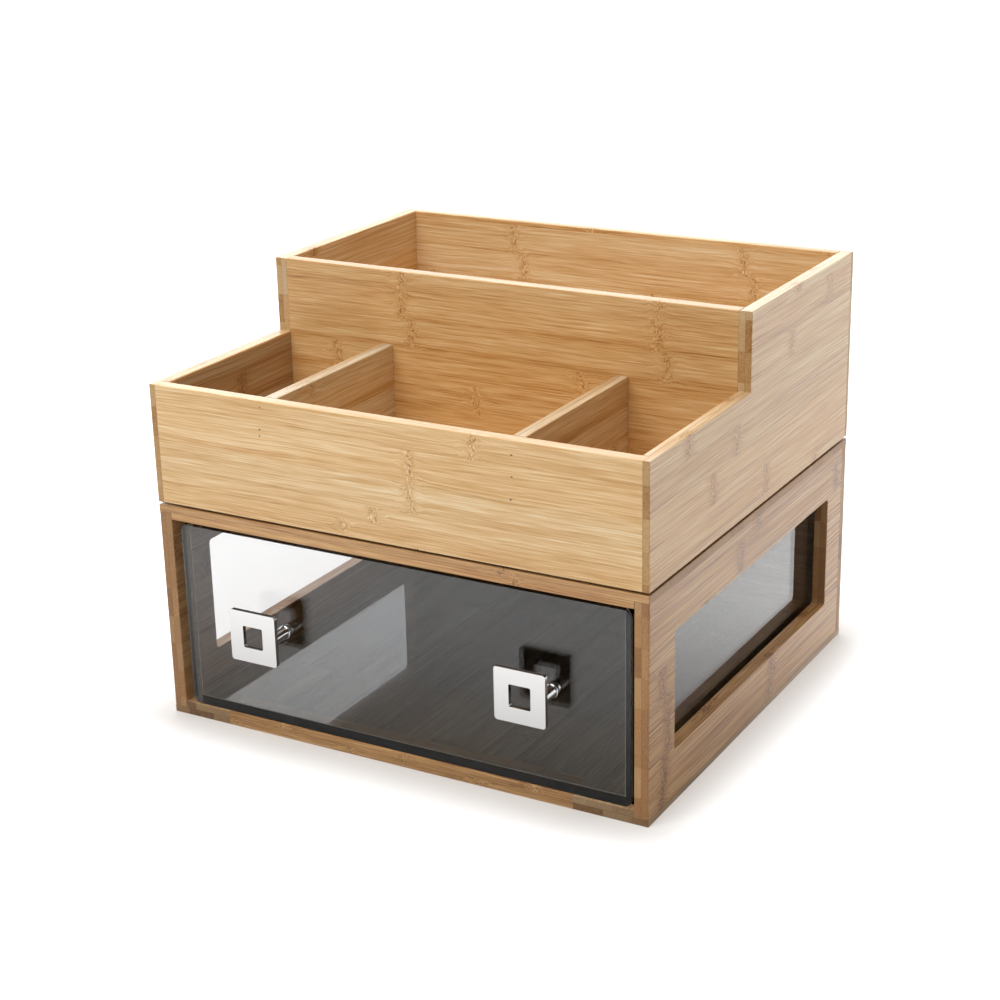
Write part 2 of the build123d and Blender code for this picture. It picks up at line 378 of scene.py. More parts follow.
    def piece(
        self, name: str, material: bpy.types.Material, sharp: float = SHARP_FROM
    ) -> bpy.types.Object:
        """Finish the mesh and make an object of it.

        Args:
            name: The object's name.
            material: Its finish.
            sharp: The angle in degrees from which an edge is shaded as sharp.

        Returns:
            The object, in metres, linked into the scene.
        """
        bmesh.ops.recalc_face_normals(self.mesh, faces=self.mesh.faces[:])
        bmesh.ops.scale(self.mesh, vec=(MILLIMETRE,) * 3, verts=self.mesh.verts[:])
        for face in self.mesh.faces:
            face.smooth = True
        data = bpy.data.meshes.new(name)
        self.mesh.to_mesh(data)
        self.mesh.free()
        data.set_sharp_from_angle(angle=math.radians(sharp))
        data.materials.append(material)
        made = bpy.data.objects.new(name, data)
        bpy.context.scene.collection.objects.link(made)
        shading = made.modifiers.new("even_shading", "WEIGHTED_NORMAL")
        shading.keep_sharp = True
        shading.weight = 100
        return made


# Finishes


@dataclass(frozen=True)
class Layer:
    """One layer of noise that is drawn out along the fibres.

    Attributes:
        along: How many grains there are in a millimetre along the fibres.
        across: How many there are in a millimetre the two other ways.
        weight: How far it changes what it acts on.
        detail: How many finer layers it has.
        swirl: How far it swirls.
    """

    along: float
    across: float
    weight: float = 1.0
    detail: float = 2.0
    swirl: float = 0.0


@dataclass(frozen=True)
class Signal:
    """What a node gives, to be worked with like a number."""

    w: Wiring
    socket: bpy.types.NodeSocket

    def __add__(self, other: Value) -> Signal:
        """This number plus another."""
        return self.w.sum("ADD", self, other)

    def __sub__(self, other: Value) -> Signal:
        """This number less another."""
        return self.w.sum("SUBTRACT", self, other)

    def __rsub__(self, other: Value) -> Signal:
        """Another number less this one."""
        return self.w.sum("SUBTRACT", other, self)

    def __mul__(self, other: Value) -> Signal:
        """This number times another."""
        return self.w.sum("MULTIPLY", self, other)

    def __truediv__(self, other: Value) -> Signal:
        """This number divided by another."""
        return self.w.sum("DIVIDE", self, other)


class Wiring:
    """A short way of laying out the nodes of one tree."""

    def __init__(self, tree: bpy.types.NodeTree) -> None:
        """Take the tree that the nodes go into."""
        self.tree = tree

    def add(self, kind: str, inputs: dict | None = None, **settings: Value) -> bpy.types.Node:
        """Add a node.

        Args:
            kind: Blender's name for the kind of node, without its leading "ShaderNode".
            inputs: What its inputs are fed with, by name or place.
            settings: Its settings.

        Returns:
            The node.
        """
        node = self.tree.nodes.new(f"ShaderNode{kind}")
        for key, value in settings.items():
            setattr(node, key, value)
        for key, value in (inputs or {}).items():
            self.feed(node.inputs[key], value)
        return node

    def feed(self, socket: bpy.types.NodeSocket, value: Value) -> None:
        """Link an input to what a node gives, or set it.

        Args:
            socket: The input.
            value: What it is fed with. A colour of three numbers is made solid.
        """
        if isinstance(value, Signal):
            self.tree.links.new(value.socket, socket)
        else:
            socket.default_value = (*value, 1.0) if socket.type == "RGBA" else value

    def out(self, kind: str, key: str | int, inputs: dict | None = None, **settings: Value) -> Signal:
        """Add a node, and take the output that the key names."""
        return Signal(self, self.add(kind, inputs, **settings).outputs[key])

    def split(self, kind: str, value: Value) -> list[Signal]:
        """The three parts of a place, for the kind XYZ, or of a colour, for Color."""
        return [Signal(self, output) for output in self.add(f"Separate{kind}", {0: value}).outputs]

    def place(self, kind: str = "Object") -> list[Signal]:
        """The three parts of a texture coordinate."""
        return self.split("XYZ", self.out("TexCoord", kind))

    def sum(self, operation: str, *values: Value, clamp: bool = False) -> Signal:
        """Work out one number from others, by Blender's name for the sum."""
        return self.out("Math", 0, dict(enumerate(values)), operation=operation, use_clamp=clamp)

    def mix(self, share: Value, first: Value, second: Value, blend: Blend = Blend.MIX) -> Signal:
        """Mix two colours, with a share of the second."""
        inputs = {0: share, 6: first, 7: second}
        return self.out("Mix", 2, inputs, data_type="RGBA", blend_type=blend.value, clamp_factor=True)

    def stain(self, colour: Signal, tint: Value, share: Value = 1.0) -> Signal:
        """Multiply a colour by a tint, as far as the share says."""
        return self.mix(share, colour, tint, Blend.MULTIPLY)

    def slope(
        self, number: Signal, span: Sequence[Value], levels: Flat, course: Course = Course.SMOOTH
    ) -> Signal:
        """Let a level follow a number.

        Args:
            number: What it follows.
            span: Where it leaves the first level and where it reaches the second.
            levels: The two levels.
            course: How it goes from one to the other.

        Returns:
            The level.
        """
        inputs = dict(enumerate((number, *span, *levels)))
        return self.out("MapRange", 0, inputs, interpolation_type=course.value)

    def bell(self, distance: Signal, width: Value) -> Signal:
        """A number that is 1 where a distance is 0, and falls to about a third at the width."""
        ratio = distance / width
        return self.sum("EXPONENT", ratio * ratio * -1.0)

    def cloud(self, scale: float, detail: float = 2.0) -> Signal:
        """Plain noise with about so many grains in a metre, and so many finer layers."""
        place = self.out("TexCoord", "Object")
        return self.out("TexNoise", 0, {"Vector": place, "Scale": scale, "Detail": detail})

    def noise(self, place: Sequence[Signal], layer: Layer, apart: Signal) -> Signal:
        """Smooth noise along the fibres, spread over about 0 to 1.

        Args:
            place: The place along, across and through the fibres, in millimetres.
            layer: The layer of noise.
            apart: How far along the noise is taken, so that no two strips are alike.

        Returns:
            The noise.
        """
        x, y, z = place
        vector = {0: x * layer.along + apart, 1: y * layer.across, 2: z * layer.across}
        inputs = {
            "Vector": self.out("CombineXYZ", 0, vector), "Scale": 1.0,
            "Detail": layer.detail, "Distortion": layer.swirl,
        }
        return self.slope(self.out("TexNoise", 0, inputs), NOISE_SPAN, (0.0, 1.0), Course.STRAIGHT)

    def ramp(
        self, factor: Signal, stops: Sequence[tuple], course: Course = Course.STRAIGHT
    ) -> list[Signal]:
        """Turn a number into colours.

        Args:
            factor: The number.
            stops: The place and the four numbers of each stop's colour.
            course: How the colour goes from stop to stop.

        Returns:
            The colour and its fourth number.
        """
        node = self.add("ValToRGB", {0: factor})
        node.color_ramp.interpolation = course.value
        elements = node.color_ramp.elements
        while len(elements) < len(stops):
            elements.new(1.0)
        for element, (place, colour) in zip(elements, stops):
            element.position = place
            element.color = colour
        return [Signal(self, output) for output in node.outputs]

    def surface(self, height: Signal, strength: float, depth: float, inputs: dict) -> Signal:
        """Lay out a surface with fine relief.

        Args:
            height: The height of the relief.
            strength: How strongly it shows.
            depth: How deep it is, in metres.
            inputs: What else the shader is fed with.

        Returns:
            The surface.
        """
        bump = self.out("Bump", 0, {"Height": height, "Strength": strength, "Distance": depth})
        return self.out("BsdfPrincipled", 0, {**inputs, "Normal": bump})

    def clear(self) -> Signal:
        """A surface that lets everything through as it is."""
        return self.out("BsdfTransparent", 0, {"Color": WHITE})

    def rays(self) -> tuple[Signal, Signal]:
        """Tell what kind of ray meets the surface.

        Returns:
            Whether it is the camera's own, and whether metal or glass has sent it on.
        """
        path, kinds = self.add("LightPath").outputs, ("Camera", "Glossy", "Transmission")
        camera, glossy, bent = (Signal(self, path[f"Is {kind} Ray"]) for kind in kinds)
        return camera, self.sum("MAXIMUM", glossy, bent)


def blank(name: str) -> tuple[bpy.types.Material, Wiring]:
    """Start a material with nothing in it.

    Args:
        name: The material's name.

    Returns:
        The material and its wiring.
    """
    material = bpy.data.materials.new(name)
    material.use_nodes = True
    material.node_tree.nodes.clear()
    return material, Wiring(material.node_tree)


@dataclass(frozen=True)
class Strip:
    """One strip of split bamboo in a ply.

    Attributes:
        start: Where it begins across the ply.
        tone: How pale it is, from 0 to 1.
        hue: How golden it is, from 0 to 1.
        knot: The place of one of its knots along the grain.
    """

    start: float
    tone: float
    hue: float
    knot: float


Ply = tuple[Strip, ...]


def strips(*rows: tuple[float, float, float, float]) -> Ply:
    """Strips listed one by one, each by its start, tone, hue and knot."""
    return tuple(Strip(*row) for row in rows)


def laid(
    low: float, high: float, seed: int, tones: Flat = (0.0, 1.0),
    even: float | None = None, knots: dict[int, float] | None = None,
) -> Ply:
    """Lay strips side by side.

    Args:
        low: Where the ply begins.
        high: Where it ends.
        seed: The number that settles what is drawn.
        tones: The range of the strips' tones.
        even: The width of every strip, where they don't differ.
        knots: The knots that have a chosen place, by the strip's number.

    Returns:
        The ply.
    """
    dice = random.Random(seed)
    width = 20.0 if even is None else even
    starts, place = [], low if even else low - dice.uniform(0.15, 0.85) * width
    while place < high:
        starts.append(place)
        place += width if even else width * dice.uniform(0.9, 1.08)
    drawn = [Strip(s, dice.uniform(*tones), dice.random(), dice.uniform(0, 400)) for s in starts]
    return tuple(replace(s, knot=(knots or {}).get(i, s.knot)) for i, s in enumerate(drawn))


def both(span: Flat, seed: int) -> tuple[Ply, Ply]:
    """Two drawn plies of a board that show little."""
    return laid(*span, seed), laid(*span, seed + 500)


@dataclass(frozen=True)
class Grain:
    """How the bamboo lies in one board.

    Attributes:
        along: The axis that the fibres follow.
        across: The axis that the strips are laid side by side on.
        seam: The place of the glue line between the two plies.
        span: Where the board begins and ends across the grain.
        plies: The ply below the seam and the one above it.
        internode: The distance between a strip's knots.
        tint: What the finish's colours are multiplied by.
        fine: How strongly the finest fibres show.
        coarse: How strongly the wider streaks show.
        knot: How wide the knots are, where 1 is usual.
        reach: How far the finest fibres run, where 1 is usual.
        sole: The Z up to which the board's colour is darkened as painted shade, where it faces what it stands
            on.
    """

    along: Axis
    across: Axis
    seam: float
    span: Flat
    plies: tuple[Ply, Ply]
    internode: float = 255.0
    tint: Rgb = WHITE
    fine: float = 1.0
    coarse: float = 1.0
    knot: float = 1.0
    reach: float = 1.0
    sole: float | None = None

    @property
    def through(self) -> Axis:
        """The axis through the board's thickness."""
        return next(a for a in Axis if a not in (self.along, self.across))


@dataclass(frozen=True)
class Inset:
    """A stretch of a board whose bamboo lies another way, or whose colour is darkened as painted shade."""

    block: Block
    grain: Grain


@dataclass(frozen=True)
class BambooFinish:
    """Split bamboo, glued into boards and lacquered.

    Attributes:
        name: The finish's name.
        shades: The wood's colours from its darkest streaks to its palest, as a picture gives them.
        end_shade: What the end grain's colour is multiplied by.
        roughness: How dull the lacquer is.
        upper_tint: What the colours of the faces that look up are multiplied by, as painted light from above.
        levels: The levels from 0 to 1 that the shades stand for.
        golden: What the colours of the most golden strips are multiplied by.
        glue: What the colour is multiplied by where glue shows.
        sole_shade: What the colour is multiplied by under a board, as painted shade.
        margin: How far past a board its strips are laid out.
        joint_width: The width of the line between two strips.
        seam_width: The width of the line between the two plies.
        knot_width: The width of a usual knot.
        parting_width: How far from a knot the fibres part.
        apart: How far a strip's tone and its hue take its noise from the others'.
        wander: How the fibres wander.
        parting: How they part round a knot.
        fine: The finest fibres.
        streak: The narrow streaks.
        medium: The wider streaks.
        broad: The broad shades.
        ragged: The knots' ragged edges.
        swirl: The dashes in a knot.
        faint: Where the line between two strips is faint.
        usual_level: How pale the wood is where nothing changes it.
        tone_share: How much a strip's tone counts.
        end_tone_share: How much more it counts on end grain.
        end_calm: How much less the fibres count there.
        knot_level: How pale a narrow knot is.
        knot_shadow: How much darker a knot is the wider it is.
        golden_run: How far from a strip's start the golden run lies, and its width.
        golden_depth: How much darker the run is.
        joint_strength: How strongly the line between two strips shows.
        end_strength: How much more strongly it shows on end grain.
        seam_strength: How strongly the line between the plies shows.
        streak_dulling: How much duller the lacquer is in a streak.
        end_dulling: How much duller it is on end grain.
        relief: How far the fibres, the streaks and the dashes stand out, and how deep the lines lie.
    """

    name: str
    shades: tuple[Rgb, ...]
    end_shade: Rgb
    roughness: float
    upper_tint: Rgb
    levels: tuple[float, ...] = (0.0, 0.15, 0.35, 0.55, 0.75, 1.0)
    golden: Rgb = (1.03, 0.96, 0.86)
    glue: Rgb = (0.4, 0.3, 0.22)
    sole_shade: Rgb = (0.12, 0.12, 0.12)
    margin: float = 25.0
    joint_width: float = 0.26
    seam_width: float = 0.16
    knot_width: float = 3.9
    parting_width: float = 12.0
    apart: Flat = (173.0, 61.0)
    wander: Layer = Layer(0.008, 0.03, 2.2)
    parting: Layer = Layer(0.11, 0.24, 3.4)
    fine: Layer = Layer(0.045, 1.7, 0.36, 1.0)
    streak: Layer = Layer(0.013, 0.85, 0.36, 1.0)
    medium: Layer = Layer(0.008, 0.34, 0.16, 1.0)
    broad: Layer = Layer(0.005, 0.1, 0.18, 1.0)
    ragged: Layer = Layer(0.0, 0.35, 4.0)
    swirl: Layer = Layer(0.7, 0.9, 1.2, swirl=1.4)
    faint: Layer = Layer(0.02, 0.0)
    usual_level: float = 0.56
    tone_share: float = 0.22
    end_tone_share: float = 0.42
    end_calm: float = 0.45
    knot_level: float = 0.70
    knot_shadow: float = 0.27
    golden_run: Flat = (1.8, 3.4)
    golden_depth: float = 0.2
    joint_strength: float = 0.45
    end_strength: float = 0.25
    seam_strength: float = 0.5
    streak_dulling: float = 0.1
    end_dulling: float = 0.12
    relief: tuple[float, float, float, float] = (0.36, 0.16, 0.5, 1.2)

    def material(self, name: str, grain: Grain, inset: Inset | None = None) -> bpy.types.Material:
        """Make the material of one board.

        Args:
            name: The board's name.
            grain: How the bamboo lies in it.
            inset: A stretch of it that lies another way, or that is darkened as painted shade.

        Returns:
            The material.
        """
        made, w = blank(f"{self.name}_{name}")
        drawn = self.drawn(w, grain)
        if inset is not None:
            other = self.drawn(w, inset.grain)
            share: Value = 1.0
            for part, (low, high) in zip(w.place(), inset.block.spans):
                past = w.sum("GREATER_THAN", part, low * MILLIMETRE)
                share = past * w.sum("LESS_THAN", part, high * MILLIMETRE) * share
            drawn = [w.mix(share, one, two) for one, two in zip(drawn, other)]
        colour, rough, height = drawn
        lacquer = {
            "Base Color": colour, "Roughness": rough, "IOR": 1.5, "Specular IOR Level": 0.4,
            "Coat Weight": 0.2, "Coat Roughness": 0.24, "Coat IOR": 1.5,
        }
        lacquered = w.surface(height, strength=0.5, depth=0.0001, inputs=lacquer)
        w.add("OutputMaterial", {"Surface": lacquered})
        return made

    def drawn(self, w: Wiring, grain: Grain) -> list[Signal]:
        """Lay out the strips of one board and draw the bamboo in them.

        Args:
            w: The wiring of the board's material.
            grain: How the bamboo lies.

        Returns:
            Its colour, roughness and height.
        """
        place, facing = w.place(), w.place("Normal")
        along, across, through = (
            place[axis.value] * (1 / MILLIMETRE) for axis in (grain.along, grain.across, grain.through)
        )
        low, high = grain.span[0] - self.margin, grain.span[1] + self.margin
        share = (across - low) / (high - low)
        layers = []
        for ply in grain.plies:
            stops = []
            for s in ply:
                start = (s.start - low) / (high - low)
                stops.append((max(0.0, start), (s.tone, s.hue, (s.knot / grain.internode) % 1, start)))
            layers.append(w.ramp(share, stops, Course.STEPPED))
        (below, below_start), (above, above_start) = layers
        upper = w.sum("GREATER_THAN", through, grain.seam)
        tone, hue, phase = w.split("Color", w.mix(upper, below, above))
        start = below_start * (1.0 - upper) + above_start * upper
        turns = along / grain.internode - phase + 0.5
        given = {
            "Along": along, "Across": across, "Through": through, "Tone": tone, "Hue": hue,
            "From start": (share - start) * (high - low),
            "To knot": (w.sum("FRACT", turns) - 0.5) * grain.internode,
            "To seam": through - grain.seam,
            "End": w.sum("GREATER_THAN", w.sum("ABSOLUTE", facing[grain.along.value]), END_FROM),
            "Fine": grain.fine, "Coarse": grain.coarse, "Knot": grain.knot, "Reach": grain.reach,
        }
        group = w.add("Group", given, node_tree=self.group(given))
        colour, rough, height = (Signal(w, output) for output in group.outputs)
        colour = w.stain(colour, grain.tint)
        # Painted top light: faces that look up get their colour changed for the light that falls on them from
        # above
        colour = w.stain(colour, self.upper_tint, w.sum("GREATER_THAN", facing[2], UP_FROM))
        # Painted shade: the colour is darkened near the board's underside, where it stands on the case
        if grain.sole is not None:
            under = w.sum("LESS_THAN", place[2], grain.sole * MILLIMETRE)
            colour = w.stain(colour, self.sole_shade, under)
        return [colour, rough, height]

    def group(self, names: Iterable[str]) -> bpy.types.NodeTree:
        """Give the node group that draws this bamboo, made once.

        Args:
            names: The names of its inputs.

        Returns:
            The group.
        """
        known = bpy.data.node_groups.get(self.name)
        if known is not None:
            return known
        tree = bpy.data.node_groups.new(self.name, "ShaderNodeTree")
        sockets = [(name, "INPUT", "Float") for name in names]
        sockets += [(name, "OUTPUT", kind) for name, kind in zip(
            ("Color", "Roughness", "Height"), ("Color", "Float", "Float")
        )]
        for name, way, kind in sockets:
            tree.interface.new_socket(name=name, in_out=way, socket_type=f"NodeSocket{kind}")
        w = Wiring(tree)
        given = {o.name: Signal(w, o) for o in tree.nodes.new("NodeGroupInput").outputs}
        result = tree.nodes.new("NodeGroupOutput").inputs
        for name, signal in self.pattern(w, given).items():
            w.feed(result[name], signal)
        return tree

    def pattern(self, w: Wiring, given: dict[str, Signal]) -> dict[str, Signal]:
        """Draw the bamboo.

        Args:
            w: The group's wiring.
            given: The group's inputs by name.

        Returns:
            The group's outputs by name.
        """
        place = [given[name] for name in ("Along", "Across", "Through")]
        end, tone, hue = (given[name] for name in ("End", "Tone", "Hue"))
        coarse, knot_size = given["Coarse"], given["Knot"]
        side_grain = 1.0 - end
        apart = tone * self.apart[0] + hue * self.apart[1]

        # Fibres run nearly straight, and part round each knot
        halo = w.bell(given["To knot"], self.parting_width)
        wander = (w.noise(place, self.wander, apart) - 0.5) * self.wander.weight
        parting = (w.noise(place, self.parting, apart) - 0.5) * self.parting.weight
        parts = [place[0], place[1] + (wander + parting * halo), place[2]]
        fine = w.noise([place[0] / given["Reach"], *parts[1:]], self.fine, apart)
        layers = (self.streak, self.medium, self.broad)
        streak, medium, broad = (w.noise(parts, layer, apart) for layer in layers)
        fibres = (fine - 0.5) * (given["Fine"] * self.fine.weight)
        shares = (w.sum("SQRT", coarse), coarse, coarse)
        for noise, layer, share in zip((streak, medium, broad), layers, shares):
            fibres = (noise - 0.5) * (share * layer.weight) + fibres

        # A knot is a narrow ragged band of short swirling dashes
        ragged = (w.noise(place, self.ragged, apart) - 0.5) * self.ragged.weight
        knot = w.bell(given["To knot"] + ragged, knot_size * self.knot_width) * side_grain
        swirl = w.noise(parts, self.swirl, apart)
        knotted = (swirl - 0.5) * self.swirl.weight + (knot_size * -self.knot_shadow + self.knot_level)

        # Strip joints, the seam between the plies, and the golden run beside a joint
        faint = w.noise(place, self.faint, apart)
        joint = w.bell(given["From start"], self.joint_width) * w.sum("MAXIMUM", faint, end)
        run, run_width = self.golden_run
        beside = w.bell(given["From start"] - run, run_width) * hue
        seam = w.bell(given["To seam"], self.seam_width)
        joint = joint * (end * self.end_strength + self.joint_strength)
        line = w.sum("MAXIMUM", joint, seam * self.seam_strength)

        # How pale the wood is, from its strips' tones, fibres and knots
        level = (tone - 0.5) * self.tone_share + self.usual_level + fibres * (end * -self.end_calm + 1.0)
        level = beside * side_grain * -self.golden_depth + level
        level = level * (1.0 - knot) + knotted * knot
        level = w.sum("ADD", level, (tone - 0.5) * (end * self.end_tone_share), clamp=True)
        stops = [(mark, (*linear(shade), 1.0)) for mark, shade in zip(self.levels, self.shades)]
        colour = w.stain(w.ramp(level, stops)[0], w.mix(hue, WHITE, self.golden))
        colour = w.stain(w.stain(colour, self.end_shade, end), self.glue, line)
        fibre_height, streak_height, dash_height, line_depth = self.relief
        height = fine * fibre_height + streak * streak_height
        return {
            "Color": colour,
            "Roughness": (medium - 0.5) * self.streak_dulling + self.roughness + end * self.end_dulling,
            "Height": height + swirl * knot * dash_height - line * line_depth,
        }


@dataclass(frozen=True)
class SmokedFinish:
    """Smoked clear sheet, polished.

    Attributes:
        name: The material's name.
        clearness: The share of each colour that one sheet lets through.
        sheet: The thickness that the clearness is given for.
        index: Its refractive index.
        waves: About how many faint waves its faces have in a metre.
        grit: About how many grains the cement has in a metre.
        cement: The cement's darkest and palest colour.
    """

    name: str = "smoked_sheet"
    clearness: Rgb = (0.80, 0.80, 0.80)
    sheet: float = 5.0
    index: float = 1.49
    waves: float = 9.0
    grit: float = 900.0
    cement: tuple[Rgb, Rgb] = ((0.33, 0.27, 0.21), (0.52, 0.45, 0.37))

    def material(self) -> bpy.types.Material:
        """Make the material: glass that darkens with depth, and lets the lamps' light through.

        Returns:
            The material.
        """
        made, w, smoke = self.smoked(self.name)
        polish = {"Base Color": WHITE, "Roughness": 0.0, "IOR": self.index, "Transmission Weight": 1.0}
        glass = w.surface(w.cloud(self.waves, 1.0), strength=0.05, depth=0.0002, inputs=polish)
        shadow = w.out("LightPath", "Is Shadow Ray")
        shown = w.out("MixShader", 0, {0: shadow, 1: glass, 2: w.clear()})
        w.add("OutputMaterial", {"Surface": shown, "Volume": smoke})
        return made

    def joint(self, name: str, share: float = 0.0) -> bpy.types.Material:
        """Make the material of faces that are joined: nothing shows but the depth, and any cement.

        Args:
            name: The rest of the material's name.
            share: How solid the cement looks.

        Returns:
            The material.
        """
        made, w, smoke = self.smoked(f"{self.name}_{name}")
        shown = w.clear()
        if share > 0:
            pale = w.out("BsdfDiffuse", 0, {"Color": w.mix(w.cloud(self.grit), *self.cement)})
            shown = w.out("MixShader", 0, {0: share, 1: shown, 2: pale})
        w.add("OutputMaterial", {"Surface": shown, "Volume": smoke})
        return made

    def smoked(self, name: str) -> tuple[bpy.types.Material, Wiring, Signal]:
        """Start a material that darkens with depth.

        Args:
            name: The material's name.

        Returns:
            The material, its wiring and its smoke.
        """
        made, w = blank(name)
        depths = [-math.log(c) / (self.sheet * MILLIMETRE) for c in self.clearness]
        density = max(depths) * 1.02
        colour = tuple(1 - d / density for d in depths)
        return made, w, w.out("VolumeAbsorption", 0, {"Color": colour, "Density": density})


@dataclass(frozen=True)
class MetalFinish:
    """Polished or drawn metal.

    Attributes:
        name: The material's name.
        colour: Its colour.
        roughness: How dull it is where it is cleanest.
        smear: How much duller it is where it has been handled.
        grit: The size of its fine marks, in millimetres.
        relief: How strongly the marks stand out.
        smears: About how many smears there are in a metre.
        smeared: The levels of the noise from which and up to which it is smeared.
    """

    name: str
    colour: Rgb
    roughness: float
    smear: float
    grit: float
    relief: float
    smears: float = 160.0
    smeared: Flat = (0.45, 0.75)

    def material(self) -> bpy.types.Material:
        """Make the material.

        Returns:
            The material.
        """
        made, w = blank(self.name)
        dulled = (self.roughness, self.roughness + self.smear)
        rough = w.slope(w.cloud(self.smears, 3.0), self.smeared, dulled, Course.STRAIGHT)
        marks = w.cloud(1 / (self.grit * MILLIMETRE))
        bare = {"Base Color": self.colour, "Metallic": 1.0, "Roughness": rough}
        metal = w.surface(marks, strength=self.relief, depth=0.00002, inputs=bare)
        w.add("OutputMaterial", {"Surface": metal})
        return made


@dataclass(frozen=True)
class PadFinish:
    """Clear soft pad with a dull skin.

    Attributes:
        name: The material's name.
        shades: Its darkest and its palest colour.
        dimples: About how many dimples its skin has in a metre.
    """

    name: str = "clear_pad"
    shades: tuple[Rgb, Rgb] = ((0.496, 0.488, 0.448), (0.62, 0.61, 0.56))
    dimples: float = 420.0

    def material(self) -> bpy.types.Material:
        """Make the material.

        Returns:
            The material.
        """
        made, w = blank(self.name)
        skin = w.cloud(self.dimples, 3.0)
        soft = {
            "Base Color": w.mix(skin, *self.shades), "Roughness": 0.42,
            "Subsurface Weight": 0.3, "Subsurface Radius": (0.002, 0.002, 0.002),
        }
        w.add("OutputMaterial", {"Surface": w.surface(skin, strength=0.3, depth=0.00005, inputs=soft)})
        return made


# The object


@dataclass(frozen=True)
class Board:
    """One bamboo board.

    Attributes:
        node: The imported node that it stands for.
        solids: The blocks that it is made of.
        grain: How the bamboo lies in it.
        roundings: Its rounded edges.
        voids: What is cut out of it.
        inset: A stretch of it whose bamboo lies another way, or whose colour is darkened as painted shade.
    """

    node: str
    solids: tuple[Block, ...]
    grain: Grain
    roundings: tuple[Rounding, ...] = ()
    voids: tuple[Block, ...] = ()
    inset: Inset | None = None


class Assembly:
    """What the sub-assemblies share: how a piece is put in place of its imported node.

    Attributes:
        body: The CAD body that it moves with.
        slot: The record's material slot of what it makes.
    """

    body: ClassVar[str]
    slot: ClassVar[str]

    def place(self, made: bpy.types.Object, slot: str, *nodes: str) -> None:
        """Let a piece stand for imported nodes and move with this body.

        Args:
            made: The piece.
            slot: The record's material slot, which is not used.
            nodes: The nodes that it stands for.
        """
        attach(made, self.body)
        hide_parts(*nodes)
        LOG.info("%s: %s, %d faces", self.body, made.name, len(made.data.polygons))

    def redress(self, nodes: dict, name: str, material: bpy.types.Material) -> None:
        """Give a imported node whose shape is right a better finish.

        Args:
            nodes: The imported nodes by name.
            name: Which of them.
            material: The finish.
        """
        data = nodes[name].data
        data.materials.clear()
        data.materials.append(material)
        LOG.info("%s: %s keeps its own mesh", self.body, name)


@dataclass
class Carcass(Assembly):
    """What the case and the tray share: bamboo boards round an open inside.

    Attributes:
        width: The size from side to side.
        depth: The size from front to back.
        board: The thickness of its boards.
        back_board: The thickness of its back board.
        strip: The width of the strips of its sides.
        arris: How wide the sanded edges are.
    """

    width: float = 356.0
    depth: float = 324.0
    board: float = 9.0
    back_board: float = 7.5
    strip: float = 20.0
    arris: float = 0.2

    @property
    def half(self) -> float:
        """Half the width."""
        return self.width / 2

    @property
    def inner(self) -> float:
        """Half the width between the sides."""
        return self.half - self.board

    @property
    def front(self) -> float:
        """The Y of the front."""
        return -self.depth / 2

    @property
    def rear(self) -> float:
        """The Y of the back."""
        return self.depth / 2

    @property
    def inner_back(self) -> float:
        """The Y of the back board's inner face."""
        return self.rear - self.back_board

    def lay(self, boards: Iterable[Board], finish: BambooFinish) -> None:
        """Build bamboo boards and put them in place.

        Args:
            boards: The boards.
            finish: Their bamboo.
        """
        for board in boards:
            form = Form().blocks(board.solids, board.voids).rounded(*board.roundings).eased(self.arris)
            material = finish.material(board.node, board.grain, board.inset)
            self.place(form.piece(f"{board.node}_board", material), self.slot, board.node)


